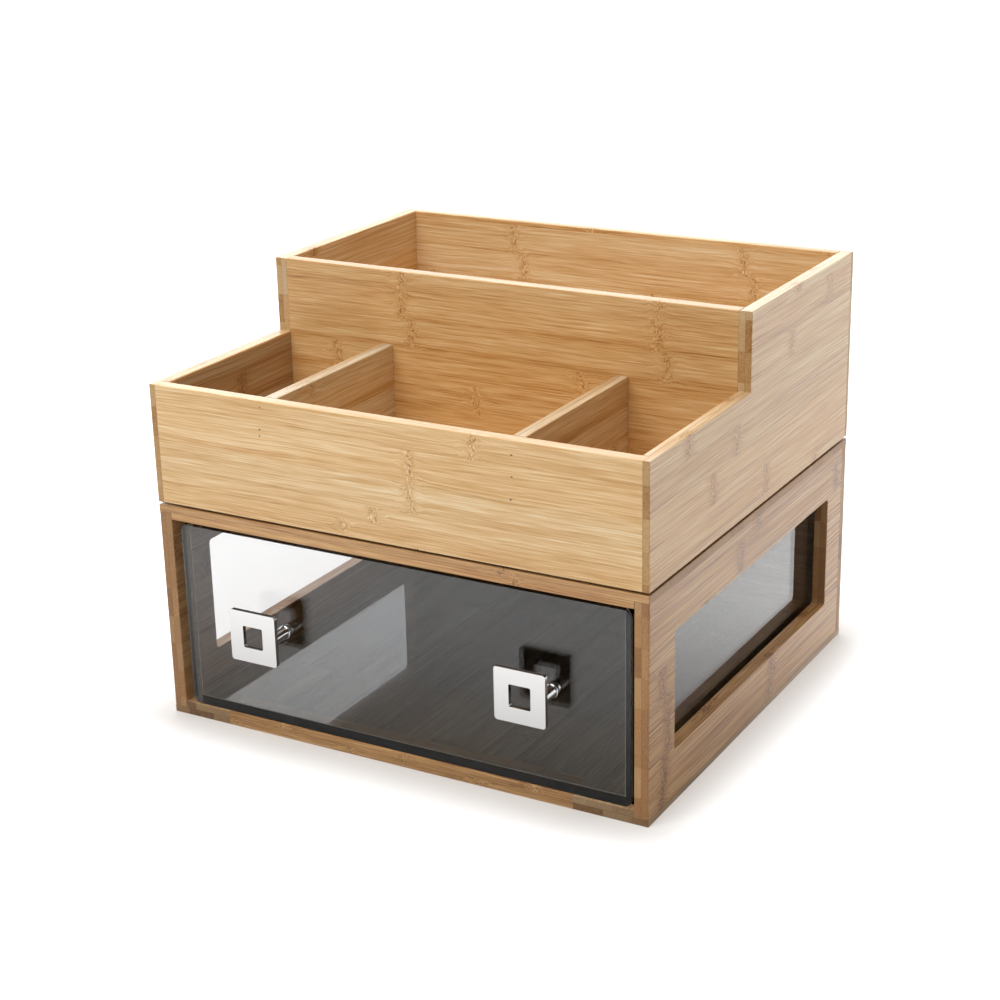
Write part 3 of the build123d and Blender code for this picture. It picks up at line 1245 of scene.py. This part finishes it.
@dataclass
class Case(Carcass):
    """The low case with a window in each side."""

    board: float = 9.7
    strip: float = 19.7
    height: float = 150.5
    outer_round: float = 0.7
    corner_round: float = 1.2
    mouth_round: float = 0.6
    window_y: Flat = (-125.2, 128.9)
    window_z: Flat = (35.4, 115.1)
    window_corner: float = 2.6
    window_bevel: float = 0.4
    lipping: Flat = (-132.0, 127.0)
    lipping_depth: float = 21.0
    lipping_tint: Rgb = (0.96, 0.96, 0.86)
    right_tint: Rgb = (1.06, 0.99, 0.885)
    left_tint: Rgb = (0.86, 0.79, 0.69)
    front_tint: Rgb = (1.03, 0.98, 0.88)
    # What the bottom board's colours are multiplied by: painted shade, darker and greyer, for the inside
    # under the drawer
    bottom_tint: Rgb = (0.74, 0.80, 0.84)
    body: ClassVar[str] = "case"
    slot: ClassVar[str] = "case_bamboo"

    def level_board(
        self, node: str, outer: float, inner: float, grain: Grain, inset: Inset | None = None
    ) -> Board:
        """Describe the top or the bottom board: a wide outer ply and an inner ply between the sides.

        Args:
            node: The node's name.
            outer: The Z of its outer face.
            inner: The Z of its inner face.
            grain: How its bamboo lies.
            inset: A stretch of it whose bamboo lies another way.

        Returns:
            The board.
        """
        x, y = (-self.half, self.half), (self.front, self.rear)
        edges = (planes(Axis.Z, outer), planes(Axis.X, *x), planes(Axis.Y, *y))
        between, within = (-self.inner, self.inner), (self.front, self.inner_back)
        return Board(
            node,
            (Block(x, y, (outer, grain.seam)), Block(between, within, (inner, grain.seam))),
            grain,
            (
                Rounding(edges, self.outer_round, 5),
                Rounding((planes(Axis.Z, inner), planes(Axis.Y, self.front)), self.mouth_round, 3),
            ),
            inset=inset,
        )

    def side_board(self, side: Side) -> Board:
        """Describe one side with its window.

        Args:
            side: Left or right.

        Returns:
            The board.
        """
        outer, inner = side.value * self.half, side.value * self.inner
        ply, high = self.board / 2, self.height
        if side is Side.RIGHT:
            knots = {0: -143.0, 1: -139.0, 2: -135.0, 3: -136.0, 6: -26.5, 7: 0.5}
            outer_ply = laid(-1.3, high, 47, (0.25, 0.75), self.strip, knots)
            plies, tint = (laid(-1.3, high, 41, even=self.strip), outer_ply), self.right_tint
        else:
            outer_ply = laid(-8.3, high, 39, (0.25, 1.0), self.strip)
            plies, tint = (outer_ply, laid(-8.3, high, 38, (0.55, 1.0), self.strip)), self.left_tint
        grain = Grain(
            Axis.Y, Axis.Z, side.value * (self.half - ply), (ply, high - ply), plies,
            170.0, tint, fine=2.3, coarse=0.42, knot=1.7, reach=3.5,
        )
        beyond = (side.value * (self.half + PAST), side.value * (self.inner - PAST))
        window = Block(beyond, self.window_y, self.window_z)
        front, opening = planes(Axis.Y, self.front), planes(Axis.Y, *self.window_y)
        return Board(
            f"case_{side.word}_side",
            (Block((outer, inner), (self.front, self.inner_back), (ply, high - ply)),),
            grain,
            (
                Rounding((planes(Axis.X, outer), front), self.corner_round),
                Rounding((planes(Axis.X, inner), front), self.mouth_round, 3),
                Rounding((opening, planes(Axis.Z, *self.window_z)), self.window_corner, 6),
                Rounding((planes(Axis.X, outer, inner),), self.window_bevel, 2, window),
            ),
            (window,),
        )

    def build(self, finish: BambooFinish) -> None:
        """Build the five boards.

        Args:
            finish: Their bamboo.
        """
        ply, top, front = self.board / 2, self.height, self.front
        x, y, z = (-self.half, self.half), (front, self.rear), (ply, top - ply)
        top_plies = (
            strips((front - 8, 0.62, 0.9, 90.0)) + laid(front + 12, self.rear, 14),
            strips((front - 4, 0.22, 0.05, -25.0)) + laid(front + 16, self.rear, 15, (0.3, 0.6)),
        )
        lipping_plies = (strips((front - 3, 0.38, 0.6, 60.0)), strips((front - 2, 0.5, 0.8, 99.0)))
        lipping = Inset(
            Block(self.lipping, (front - 1, front + self.lipping_depth), (-1.0, self.board + 1)),
            Grain(Axis.X, Axis.Y, ply, y, lipping_plies, 94.0, self.lipping_tint),
        )
        top_grain = Grain(Axis.X, Axis.Y, top - ply, y, top_plies, 290.0, self.front_tint)
        # The bottom board is darkened as painted shade
        bottom_grain = Grain(Axis.Y, Axis.X, ply, x, both(x, 12), tint=self.bottom_tint)
        boards = [
            self.level_board("case_top_panel", top, top - self.board, top_grain),
            self.level_board("case_bottom_panel", 0.0, self.board, bottom_grain, lipping),
            self.side_board(Side.LEFT),
            self.side_board(Side.RIGHT),
            Board(
                "case_back_panel",
                (Block(x, (self.inner_back, self.rear), z),),
                Grain(Axis.X, Axis.Z, self.rear - self.back_board / 2, z, both(z, 13)),
                (Rounding((planes(Axis.Y, self.rear), planes(Axis.X, *x)), self.corner_round),),
            ),
        ]
        self.lay(boards, finish)


@dataclass
class Tray(Carcass):
    """The stepped open tray that stands on the case."""

    strip: float = 20.3
    bottom: float = 152.3
    floor_board: float = 4.8
    low_height: float = 80.5
    high_height: float = 132.3
    step_depth: float = 146.0
    outer_round: float = 0.5
    rim_round: float = 1.0
    divider_x: float = 89.0
    pin_places: tuple[Flat, ...] = (
        (-90.9, 228.5), (-92.1, 213.9), (-92.5, 209.6), (88.7, 223.5), (88.7, 209.9), (87.6, 195.6)
    )
    pin_hole_radius: float = 0.6
    pin_hole_steps: int = 20
    floor_strips: Flat = (-150.0, 150.0)
    # How far up from their underside the tray's boards are darkened as painted shade
    sole: float = 0.25
    front_tint: Rgb = (1.06, 1.07, 1.08)
    side_tint: Rgb = (0.98, 0.945, 0.89)
    # What the inside of the left side before the step is multiplied by, as painted shade
    shaded_tint: Rgb = (0.60, 0.60, 0.62)
    wall_tint: Rgb = (0.88, 0.81, 0.68)
    back_tint: Rgb = (0.96, 0.98, 0.97)
    divider_tint: Rgb = (0.89, 0.97, 1.08)
    body: ClassVar[str] = "tray"
    slot: ClassVar[str] = "tray_bamboo"

    @property
    def step(self) -> float:
        """The Y where it steps up."""
        return self.front + self.step_depth

    @property
    def side_back(self) -> float:
        """The Y where its sides end, under the back board's outer ply."""
        return self.rear - self.back_board / 2

    @property
    def low_top(self) -> float:
        """The Z of the low walls' rims."""
        return self.bottom + self.low_height

    @property
    def high_top(self) -> float:
        """The Z of the high walls' rims."""
        return self.bottom + self.high_height

    @property
    def floor_top(self) -> float:
        """The Z of the floor's upper face."""
        return self.bottom + self.floor_board

    def front_board(self) -> Board:
        """Describe the low front panel, let into the sides.

        Returns:
            The board.
        """
        half, ply = self.half - self.board / 2, self.board / 2
        faces, z = (self.front, self.front + self.board), (self.bottom, self.low_top)
        face_ply = strips(
            (133.5, 0.45, 0.65, 24.0), (153.5, 0.47, 0.55, -32.4), (163.5, 0.50, 0.45, -9.9),
            (174.8, 0.62, 0.30, 17.3), (195.3, 0.58, 0.75, 17.0), (215.6, 0.48, 0.60, 61.5),
        )
        grain = Grain(
            Axis.X, Axis.Z, self.front + ply, z, (face_ply, laid(*z, 21)),
            330.0, self.front_tint, coarse=0.85,
        )
        bed = Block(
            (-half - PAST, half + PAST), (self.front + ply, faces[1] + PAST),
            (self.bottom - PAST, self.floor_top),
        )
        return Board(
            "tray_front_panel",
            (Block((-half, half), faces, z),),
            grain,
            (
                Rounding((planes(Axis.Z, self.low_top), planes(Axis.Y, *faces)), self.rim_round),
                Rounding((planes(Axis.Z, self.bottom), planes(Axis.Y, self.front)), self.outer_round),
            ),
            (bed,),
        )

    def side_board(self, side: Side) -> Board:
        """Describe one stepped side.

        Args:
            side: Left or right.

        Returns:
            The board.
        """
        x, seam = (side.value * self.half, side.value * self.inner), side.value * (self.half - self.board / 2)
        cut, below = (seam, side.value * (self.inner - PAST)), self.bottom - PAST
        rims = planes(Axis.Z, self.low_top, self.high_top)
        faces = planes(Axis.Y, self.front, self.step) + planes(Axis.Z, self.bottom) + rims
        knots = {1: 12.0, 2: -72.7, 3: -36.8, 4: -108.6, 5: 51.0, 6: 118.0}
        inner_ply = laid(136.5, self.high_top, 60 + side.value, even=self.strip)
        outer_ply = laid(136.5, self.high_top, 66 + side.value, even=self.strip, knots=knots)
        grain = Grain(
            Axis.Y, Axis.Z, seam, (self.bottom, self.high_top),
            (inner_ply, outer_ply) if side is Side.RIGHT else (outer_ply, inner_ply),
            290.0, self.side_tint, fine=1.7, coarse=1.0, knot=1.7, reach=2.5,
        )
        shaded = None
        # The inside of the left side before the step is darkened as painted shade
        if side is Side.LEFT:
            inside = Block((seam, self.half), (self.front, self.step + 2), (self.bottom, self.low_top - 1.2))
            shaded = Inset(inside, replace(grain, tint=self.shaded_tint))
        return Board(
            f"tray_{side.word}_side",
            (
                Block(x, (self.front, self.side_back), (self.bottom, self.low_top)),
                Block(x, (self.step, self.side_back), (self.bottom, self.high_top)),
            ),
            grain,
            (
                Rounding((planes(Axis.X, x[0]), faces), self.outer_round),
                Rounding((planes(Axis.X, x[1]), rims), self.rim_round),
            ),
            (
                Block(cut, (self.front - PAST, self.front + self.board), (below, self.low_top + PAST)),
                Block(cut, (self.front - PAST, self.depth), (below, self.floor_top)),
            ),
            shaded,
        )

    def upright(self, node: str, block: Block, grain: Grain, axis: Axis) -> Board:
        """Describe a plain upright wall whose rim is rounded.

        Args:
            node: The node's name.
            block: Its extent.
            grain: How its bamboo lies.
            axis: The axis through it.

        Returns:
            The board.
        """
        faces = planes(axis, *(block.x if axis is Axis.X else block.y))
        return Board(node, (block,), grain, (Rounding((planes(Axis.Z, block.z[1]), faces), self.rim_round),))

    def build(self, finish: BambooFinish) -> None:
        """Build the eight boards.

        Args:
            finish: Their bamboo.
        """
        x, between = (-self.half, self.half), (-self.inner, self.inner)
        wall_y = (self.step, self.step + self.board)
        whole, high_span = (self.bottom, self.high_top), (self.floor_top, self.high_top)
        low_span, floor_z = (self.floor_top, self.low_top), (self.bottom, self.floor_top)
        wall_face = strips(
            (150.0, 0.4, 0.5, 10.0), (170.0, 0.6, 0.7, 90.0), (190.4, 0.5, 0.4, -20.0),
            (210.6, 0.44, 0.6, 60.0), (230.9, 0.5, 0.55, 120.7), (251.1, 0.42, 0.7, -76.5),
            (271.4, 0.36, 0.4, 114.2),
        )
        back_face = strips(
            (150.0, 0.6, 0.3, 20.0), (179.5, 0.6, 0.1, -60.0), (199.6, 0.6, 0.3, 150.0),
            (219.8, 0.6, 0.3, 30.0), (239.9, 0.7, 0.2, -76.0), (260.2, 0.6, 0.1, 100.6),
            (280.6, 0.45, 0.8, -20.0),
        )
        wall_grain = Grain(
            Axis.X, Axis.Z, sum(wall_y) / 2, high_span, (wall_face, laid(*high_span, 22)),
            190.0, self.wall_tint, fine=1.25, coarse=0.9,
        )
        back_plies = (back_face, laid(*whole, 23))
        back_edges = (planes(Axis.Y, self.rear), planes(Axis.X, *x) + planes(Axis.Z, *whole))
        inner_rim = (planes(Axis.Y, self.inner_back), planes(Axis.Z, self.high_top))
        lap = self.board / 2
        floor_block = Block(
            (lap - self.half, self.half - lap), (self.front + lap, self.side_back), floor_z
        )
        boards = [
            self.front_board(),
            self.side_board(Side.LEFT),
            self.side_board(Side.RIGHT),
            self.upright("tray_middle_wall", Block(between, wall_y, high_span), wall_grain, Axis.Y),
            Board(
                "tray_back_panel",
                (
                    Block(x, (self.side_back, self.rear), whole),
                    Block(between, (self.inner_back, self.side_back), high_span),
                ),
                Grain(Axis.X, Axis.Z, self.side_back, whole, back_plies, 184.6, self.back_tint),
                (Rounding(back_edges, self.outer_round), Rounding(inner_rim, self.rim_round)),
            ),
            Board(
                "tray_floor",
                (floor_block,),
                Grain(Axis.X, Axis.Y, self.bottom - 5, self.floor_strips, both(self.floor_strips, 24)),
            ),
        ]
        for side in Side:
            middle = side.value * self.divider_x
            block = Block((middle - lap, middle + lap), (self.front + self.board, self.step), low_span)
            plies = both(low_span, 70 + side.value)
            grain = Grain(Axis.Y, Axis.Z, middle, low_span, plies, tint=self.divider_tint)
            boards.append(self.upright(f"tray_{side.word}_divider", block, grain, Axis.X))
        # Boards that reach the tray's underside get a band of painted shade there
        for i, board in enumerate(boards):
            if board.solids[0].z[0] < self.bottom + self.sole:
                boards[i] = replace(board, grain=replace(board.grain, sole=self.bottom + self.sole))
        self.lay(boards, finish)
        self.drill("tray_front_panel_board")

    def drill(self, name: str) -> None:
        """Drill the pins' holes through the finished front panel.

        Args:
            name: The piece's name.
        """
        made, form, r = bpy.data.objects[name], Form(), self.pin_hole_radius
        front, back = self.front - 1, self.front + self.board + 1
        for x, z in self.pin_places:
            form.turned(((0, front), (r, front), (r, back), (0, back)), x, z, self.pin_hole_steps)
        tool = form.piece("drill", made.data.materials[0])
        holes = made.modifiers.new("holes", "BOOLEAN")
        holes.object = tool
        holes.solver = "EXACT"
        made.modifiers.move(1, 0)
        graph = bpy.context.evaluated_depsgraph_get()
        drilled = bpy.data.meshes.new_from_object(made.evaluated_get(graph), depsgraph=graph)
        made.modifiers.clear()
        made.data = drilled
        bpy.data.objects.remove(tool)
        LOG.info("%s: %s drilled, %d faces", self.body, name, len(drilled.polygons))


class Skin(Enum):
    """What the drawer's front sheet shows on its back face, by the material's place in its list."""

    SHEET = 0
    WELD = 1
    BEAD = 2
    SEAT = 3


@dataclass
class Drawer(Assembly):
    """The smoked drawer of five sheets."""

    left: float = -162.0
    right: float = 166.0
    bottom: float = 10.0
    top: float = 138.4
    front: float = -160.8
    back: float = 154.1
    sheet: float = 5.0
    corner: float = 4.5
    bevel: float = 0.3
    top_bevel: float = 0.2
    weld: float = 0.02
    hole_radius: float = 2.3
    corner_steps: int = 10
    hole_steps: int = 32
    # How much the bottom sheet lets through: less than the other sheets, as painted shade
    bottom_clearness: Rgb = (0.49, 0.53, 0.565)
    bead: float = 0.6
    bead_cement: float = 0.6
    seat: float = 1.2
    seat_cement: float = 0.3
    body: ClassVar[str] = "drawer"
    slot: ClassVar[str] = "smoked_sheet"

    def skin(self, place: Sequence[float]) -> Skin:
        """Tell what shows at a place of the front sheet.

        Args:
            place: The place in millimetres.

        Returns:
            The kind of skin.
        """
        x, y, z = place
        inset = min(x - self.left, self.right - x, z - self.bottom) - self.sheet
        if abs(y - self.front - self.sheet) > NEAR or z > self.top - self.bevel or inset > self.bead:
            return Skin.SHEET
        if self.left + self.seat < x < self.left + self.sheet:
            return Skin.SEAT
        return Skin.WELD if inset < 0 else Skin.BEAD

    def front_sheet(self, skins: Sequence[bpy.types.Material], screws: Sequence[Flat]) -> None:
        """Build the front sheet.

        Args:
            skins: Its materials, in the order of what it shows.
            screws: The (x, z) places of the knobs' screws.
        """
        middle = ((self.left + self.right) / 2, (self.bottom + self.top) / 2)
        width, height = self.right - self.left, self.top - self.bottom
        outline = rounded_loop(middle, width, height, self.corner, self.corner_steps)
        holes = [circle(x, z, self.hole_radius, self.hole_steps) for x, z in screws]
        y = (self.front, self.front + self.sheet)
        left, right, beaded = self.left + self.sheet, self.right - self.sheet, self.bottom + self.sheet
        cuts = planes(Axis.X, self.left + self.seat, left, left + self.bead, right - self.bead, right)
        form = Form().slab(outline, holes, *y).rounded(Rounding((planes(Axis.Y, *y),), self.bevel, 1))
        form.parted(cuts + planes(Axis.Z, beaded, beaded + self.bead))
        made = form.piece("drawer_front_sheet", skins[0], CRISP)
        for skin in skins[1:]:
            made.data.materials.append(skin)
        for face in made.data.polygons:
            face.material_index = self.skin([c / MILLIMETRE for c in face.center]).value
        self.place(made, self.slot, "drawer_front")

    def build(self, finish: SmokedFinish, screws: Sequence[Flat]) -> None:
        """Build the five sheets.

        Args:
            finish: Their material.
            screws: The (x, z) places of the knobs' screws.
        """
        # The bottom sheet is a darker copy of the smoked sheet, as painted shade
        darker = replace(finish, name="smoked_sheet_dark", clearness=self.bottom_clearness)
        usual, dark = ((kind.material(), kind.joint("weld")) for kind in (finish, darker))
        bead, seat = finish.joint("bead", self.bead_cement), finish.joint("seat", self.seat_cement)
        self.front_sheet((*usual, bead, seat), screws)
        joined_front, inner_back = self.front + self.sheet - self.weld, self.back - self.sheet
        left, right = self.left + self.sheet, self.right - self.sheet
        x, y, z = (left - self.weld, right + self.weld), (joined_front, self.back), (self.bottom, self.top)
        floor_y, floor_z = (joined_front, inner_back + self.weld), (self.bottom, self.bottom + self.sheet)
        for node, block, (material, weld) in (
            ("drawer_left_side", Block((self.left, left), y, z), usual),
            ("drawer_right_side", Block((right, self.right), y, z), usual),
            ("drawer_back", Block(x, (inner_back, self.back), z), usual),
            ("drawer_bottom", Block(x, floor_y, floor_z), dark),
        ):
            walls = planes(Axis.X, *block.x) + planes(Axis.Y, *block.y)
            top_edges = Rounding((planes(Axis.Z, self.top), walls), self.top_bevel, 1)
            made = Form().blocks((block,)).rounded(top_edges).piece(f"{node}_sheet", material, CRISP)
            made.data.materials.append(weld)
            for face in made.data.polygons:
                face.material_index = int(abs(face.center[1] / MILLIMETRE - joined_front) < NEAR)
            self.place(made, self.slot, node)


@dataclass
class Knob(Assembly):
    """A square plate with a square hole, on a round post behind its right bar."""

    side: Side
    x: float
    z: float = 76.6
    sheet_front: float = -160.8
    plate: float = 35.2
    thickness: float = 3.0
    hole: float = 15.0
    corner: float = 2.0
    hole_corner: float = 1.0
    corner_steps: int = 8
    hole_corner_steps: int = 5
    bevel: float = 0.5
    back_bevel: float = 0.15
    gap: float = 14.5
    post_radius: float = 4.0
    post_bevel: float = 0.25
    collar_radius: float = 4.7
    collar_bevel: float = 0.3
    collar_foot: float = 0.1
    collar: float = 1.0
    body: ClassVar[str] = "drawer"
    slot: ClassVar[str] = "polished_metal"

    @property
    def post_x(self) -> float:
        """The X of the post's axis."""
        return self.x + (self.plate + self.hole) / 4

    def build(self, metal: bpy.types.Material) -> None:
        """Build the plate, the post and the collar.

        Args:
            metal: Their finish.
        """
        back, middle = self.sheet_front - self.gap, (self.x, self.z)
        front = back - self.thickness
        outline = rounded_loop(middle, self.plate, self.plate, self.corner, self.corner_steps)
        hole = rounded_loop(middle, self.hole, self.hole, self.hole_corner, self.hole_corner_steps)
        form = Form().slab(outline, [hole], front, back).rounded(
            Rounding((planes(Axis.Y, front),), self.bevel, 3),
            Rounding((planes(Axis.Y, back),), self.back_bevel, 1),
        )
        self.make(form, metal, "square", "plate")

        end, sheet, bevel, foot = (
            self.sheet_front - self.collar, self.sheet_front, self.collar_bevel, self.collar_foot
        )
        r, eased = self.post_radius, self.post_bevel
        post = ((0, back), (r, back), (r, end - eased), (r - eased, end), (0, end))
        self.make(Form().turned(post, self.post_x, self.z), metal, "stem", "post")
        r = self.collar_radius
        outside = ((r - bevel, end), (r, end + bevel), (r, sheet - foot), (r - foot, sheet))
        collar = ((0, end), *outside, (0, sheet))
        self.make(Form().turned(collar, self.post_x, self.z), metal, "ring", "collar")

    def make(self, form: Form, metal: bpy.types.Material, name: str, node: str) -> None:
        """Make a piece of this knob and put it in place."""
        word = self.side.word
        self.place(form.piece(f"{word}_knob_{name}", metal, CRISP), self.slot, f"{word}_knob_{node}")


# The studio


@dataclass(frozen=True)
class SoftLamp:
    """A large soft lamp.

    Attributes:
        name: Its name.
        place: Where it hangs, in metres.
        size: Its width and height, in metres.
        glow: How bright its face is, where 1 is white.
        aim: The point that it faces.
        power: The watts of a square metre of it at a glow of 1.
    """

    name: str
    place: Point
    size: Flat
    glow: float
    aim: Point = (0.0, 0.0, 0.12)
    power: float = 4.0

    def hang(self) -> None:
        """Put the lamp into the scene."""
        data = bpy.data.lights.new(self.name, "AREA")
        data.shape = "RECTANGLE"
        data.size, data.size_y = self.size
        data.energy = self.power * self.glow * self.size[0] * self.size[1]
        lamp = bpy.data.objects.new(self.name, data)
        lamp.location = self.place
        lamp.rotation_euler = (Vector(self.aim) - Vector(self.place)).to_track_quat("-Z", "Y").to_euler()
        bpy.context.scene.collection.objects.link(lamp)
        LOG.info("studio: %s", self.name)


@dataclass(frozen=True)
class Studio:
    """A white floor, soft lamps and the camera. Its lengths are in metres.

    Attributes:
        lamps: The lamps.
        ambient: How strongly the white room lights the object.
        floor_white: How white the floor is.
        speckle: How far its speckles differ from that.
        speckles: About how many speckles it has in a metre.
        foot: How far the object's foot reaches to the side and to the front.
        beside: The stretch of X over which the floor changes beside the object.
        behind: The stretch of X over which the mirrored floor changes.
        near_lift: How much the floor glows against the object's front and beside it, less than further off,
            as painted shadow.
        far_lift: How much more it glows where its shadow ends, and where it is all white.
        near_reach: Where the floor's shadow ends, partly real and partly painted.
        far_reach: Where the floor is all white.
        near_warmth: The colour of the floor against the object, a painted warm bounce from the wood.
        before: The stretch of Y over which the mirrored floor darkens before the object, as painted shadow in
            reflections.
        mirrored_front: How bright it is in glass and metal at the two ends of that stretch.
        rise_from: The Y from which the mirrored floor brightens again.
        rise: The Y up to which it does, on the left and on the right.
        mirrored_white: How bright it is there, from left to right.
        horizon: The stretch over which the mirrored room brightens, from the front to the back.
        mirrored_sky: How bright the room is in glass and metal behind the object.
        dark_side: How bright it is in them before the object.
        eye: Where the camera stands.
        lens: Its focal length in millimetres.
        turn: How far it is turned, in radians.
        tilt: How far it looks down, in radians.
        lean: How far it leans to the side, in radians.
    """

    lamps: tuple[SoftLamp, ...] = (
        SoftLamp("overhead_lamp", (-0.30, 0.35, 1.40), (1.3, 1.1), 2.2),
        SoftLamp("rear_lamp", (-0.70, 1.45, 0.85), (1.8, 1.3), 1.0),
        SoftLamp("high_lamp", (-0.15, -1.30, 1.70), (1.5, 1.0), 3.6),
        SoftLamp("front_lamp", (-0.60, -1.70, 1.10), (1.6, 1.2), 0.6),
        SoftLamp("right_lamp", (0.95, 0.75, 0.16), (1.0, 0.26), 1.85),
    )
    ambient: float = 0.25
    floor_white: float = 0.6
    speckle: float = 0.01
    speckles: float = 60.0
    foot: Flat = (0.178, 0.162)
    beside: Flat = (0.12, 0.24)
    behind: Flat = (-0.18, 0.18)
    near_lift: Flat = (0.27, 0.52)
    far_lift: Flat = (0.45, 0.2)
    near_reach: float = 0.05
    far_reach: float = 0.3
    near_warmth: Rgb = (1.0, 0.9, 0.8)
    before: Flat = (-0.42, -0.15)
    mirrored_front: Flat = (0.95, 0.1)
    rise_from: float = -0.2
    rise: Flat = (-0.05, 0.22)
    mirrored_white: Flat = (1.02, 1.25)
    horizon: Flat = (-0.5, 0.3)
    mirrored_sky: float = 1.25
    dark_side: float = 0.2
    eye: Point = (0.64056, -1.14166, 0.60463)
    lens: float = 73.17
    turn: float = 0.5194
    tilt: float = 0.3487
    lean: float = -0.0227

    def floor(self) -> None:
        """Lay the floor: white to the camera, more so away from the object, with painted shadow and a painted
        warm bounce against it, and white in glass and metal but for a painted shadow before the object.
        """
        form = bmesh.new()
        bmesh.ops.create_grid(form, x_segments=2, y_segments=2, size=9.0)
        data = bpy.data.meshes.new("floor")
        form.to_mesh(data)
        form.free()
        made, w = blank("white_floor")
        x, y, _ = w.place()
        past = [
            w.sum("MAXIMUM", w.sum("ABSOLUTE", part) - reach, 0.0) for part, reach in zip((x, y), self.foot)
        ]
        away = w.sum("SQRT", past[0] * past[0] + past[1] * past[1])
        near, far = (0.0, self.near_reach), (self.near_reach, self.far_reach)
        # Painted shadow: the floor glows less to the camera near the object, and more further off
        seen = w.slope(x, self.beside, self.near_lift)
        for stretch, lift in zip((near, far), self.far_lift):
            seen = seen + w.slope(away, stretch, (0.0, lift))
        # Painted warm bounce on the floor against the object's front
        warm = w.slope(away, near, (1.0, 0.0)) * w.slope(x, self.beside, (1.0, 0.0))
        # Painted shadow in reflections: glass and metal see the floor darker before the object
        front = w.slope(y, self.before, self.mirrored_front)
        rise = w.slope(x, self.behind, self.rise)
        white = w.slope(x, self.behind, self.mirrored_white)
        behind = w.slope(y, (self.rise_from, rise), (0.0, 1.0)) * white
        camera, sent_on = w.rays()
        lift = w.sum("MAXIMUM", camera * seen, sent_on * w.sum("MAXIMUM", front, behind))
        shades = ((self.floor_white + sign * self.speckle,) * 3 for sign in (-1, 1))
        matt = w.out("BsdfDiffuse", 0, {"Color": w.mix(w.cloud(self.speckles), *shades)})
        warmth = w.mix(warm, WHITE, self.near_warmth)
        glow = w.out("Emission", 0, {"Color": warmth, "Strength": lift})
        w.add("OutputMaterial", {"Surface": w.out("AddShader", 0, {0: matt, 1: glow})})
        data.materials.append(made)
        floor = bpy.data.objects.new("floor", data)
        bpy.context.scene.collection.objects.link(floor)

    def sky(self) -> None:
        """Surround the scene with a white room that lights softly and is darker to the front in mirrors."""
        world = bpy.data.worlds.new("white_room")
        world.use_nodes = True
        world.node_tree.nodes.clear()
        w = Wiring(world.node_tree)
        camera, sent_on = w.rays()
        seen = w.sum("MAXIMUM", camera, sent_on)
        mirrored = w.slope(w.place("Generated")[1], self.horizon, (self.dark_side, self.mirrored_sky))
        strength = seen * w.sum("MAXIMUM", mirrored, camera) + (1.0 - seen) * self.ambient
        white = w.out("Background", 0, {"Color": WHITE, "Strength": strength})
        w.add("OutputWorld", {"Surface": white})
        bpy.context.scene.world = world

    def camera(self) -> None:
        """Stand the camera where the picture was taken from."""
        data = bpy.data.cameras.new("camera")
        data.sensor_fit = "HORIZONTAL"
        data.sensor_width = 36.0
        data.lens = self.lens
        data.clip_start, data.clip_end = 0.01, 60.0
        eye = bpy.data.objects.new("camera", data)
        turned = Matrix.Rotation(self.turn, 4, "Z") @ Matrix.Rotation(math.pi / 2 - self.tilt, 4, "X")
        eye.matrix_world = Matrix.Translation(self.eye) @ turned @ Matrix.Rotation(self.lean, 4, "Z")
        bpy.context.scene.collection.objects.link(eye)
        bpy.context.scene.camera = eye

    def build(self) -> None:
        """Set up the whole studio."""
        self.floor()
        self.sky()
        for lamp in self.lamps:
            lamp.hang()
        self.camera()
        bpy.context.scene.view_settings.view_transform = "Standard"


def main() -> None:
    """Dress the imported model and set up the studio."""
    logging.basicConfig(level=logging.INFO, format="%(name)s %(message)s")
    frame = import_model()
    nodes = frame["nodes"]

    pale_shades = (
        (146, 100, 58), (186, 138, 84), (208, 164, 108), (222, 185, 134), (233, 203, 158), (245, 226, 192)
    )
    brown_shades = (
        (100, 68, 46), (142, 102, 68), (172, 130, 88), (191, 150, 106), (206, 170, 126), (224, 196, 156)
    )
    pale = BambooFinish("pale_bamboo", pale_shades, (0.70, 0.68, 0.64), 0.4, (0.92, 0.96, 1.10))
    brown = BambooFinish("brown_bamboo", brown_shades, (0.71, 0.66, 0.61), 0.42, (1.22, 1.16, 1.06))
    chrome = MetalFinish("polished_metal", (0.585, 0.58, 0.572), 0.02, 0.02, 0.4, 0.02).material()
    steel = MetalFinish("screw_steel", (0.55, 0.55, 0.54), 0.28, 0.15, 0.15, 0.4).material()

    Case().build(brown)
    tray = Tray()
    tray.build(pale)
    tray.redress(nodes, "tray_pads", PadFinish().material())
    tray.redress(nodes, "divider_pins", steel)
    knobs = [Knob(Side.LEFT, -96.0), Knob(Side.RIGHT, 100.0)]
    Drawer().build(SmokedFinish(), [(knob.post_x, knob.z) for knob in knobs])
    for knob in knobs:
        knob.build(chrome)
        knob.redress(nodes, f"{knob.side.word}_knob_screw", steel)
    Studio().build()


if __name__ == "__main__":
    main()
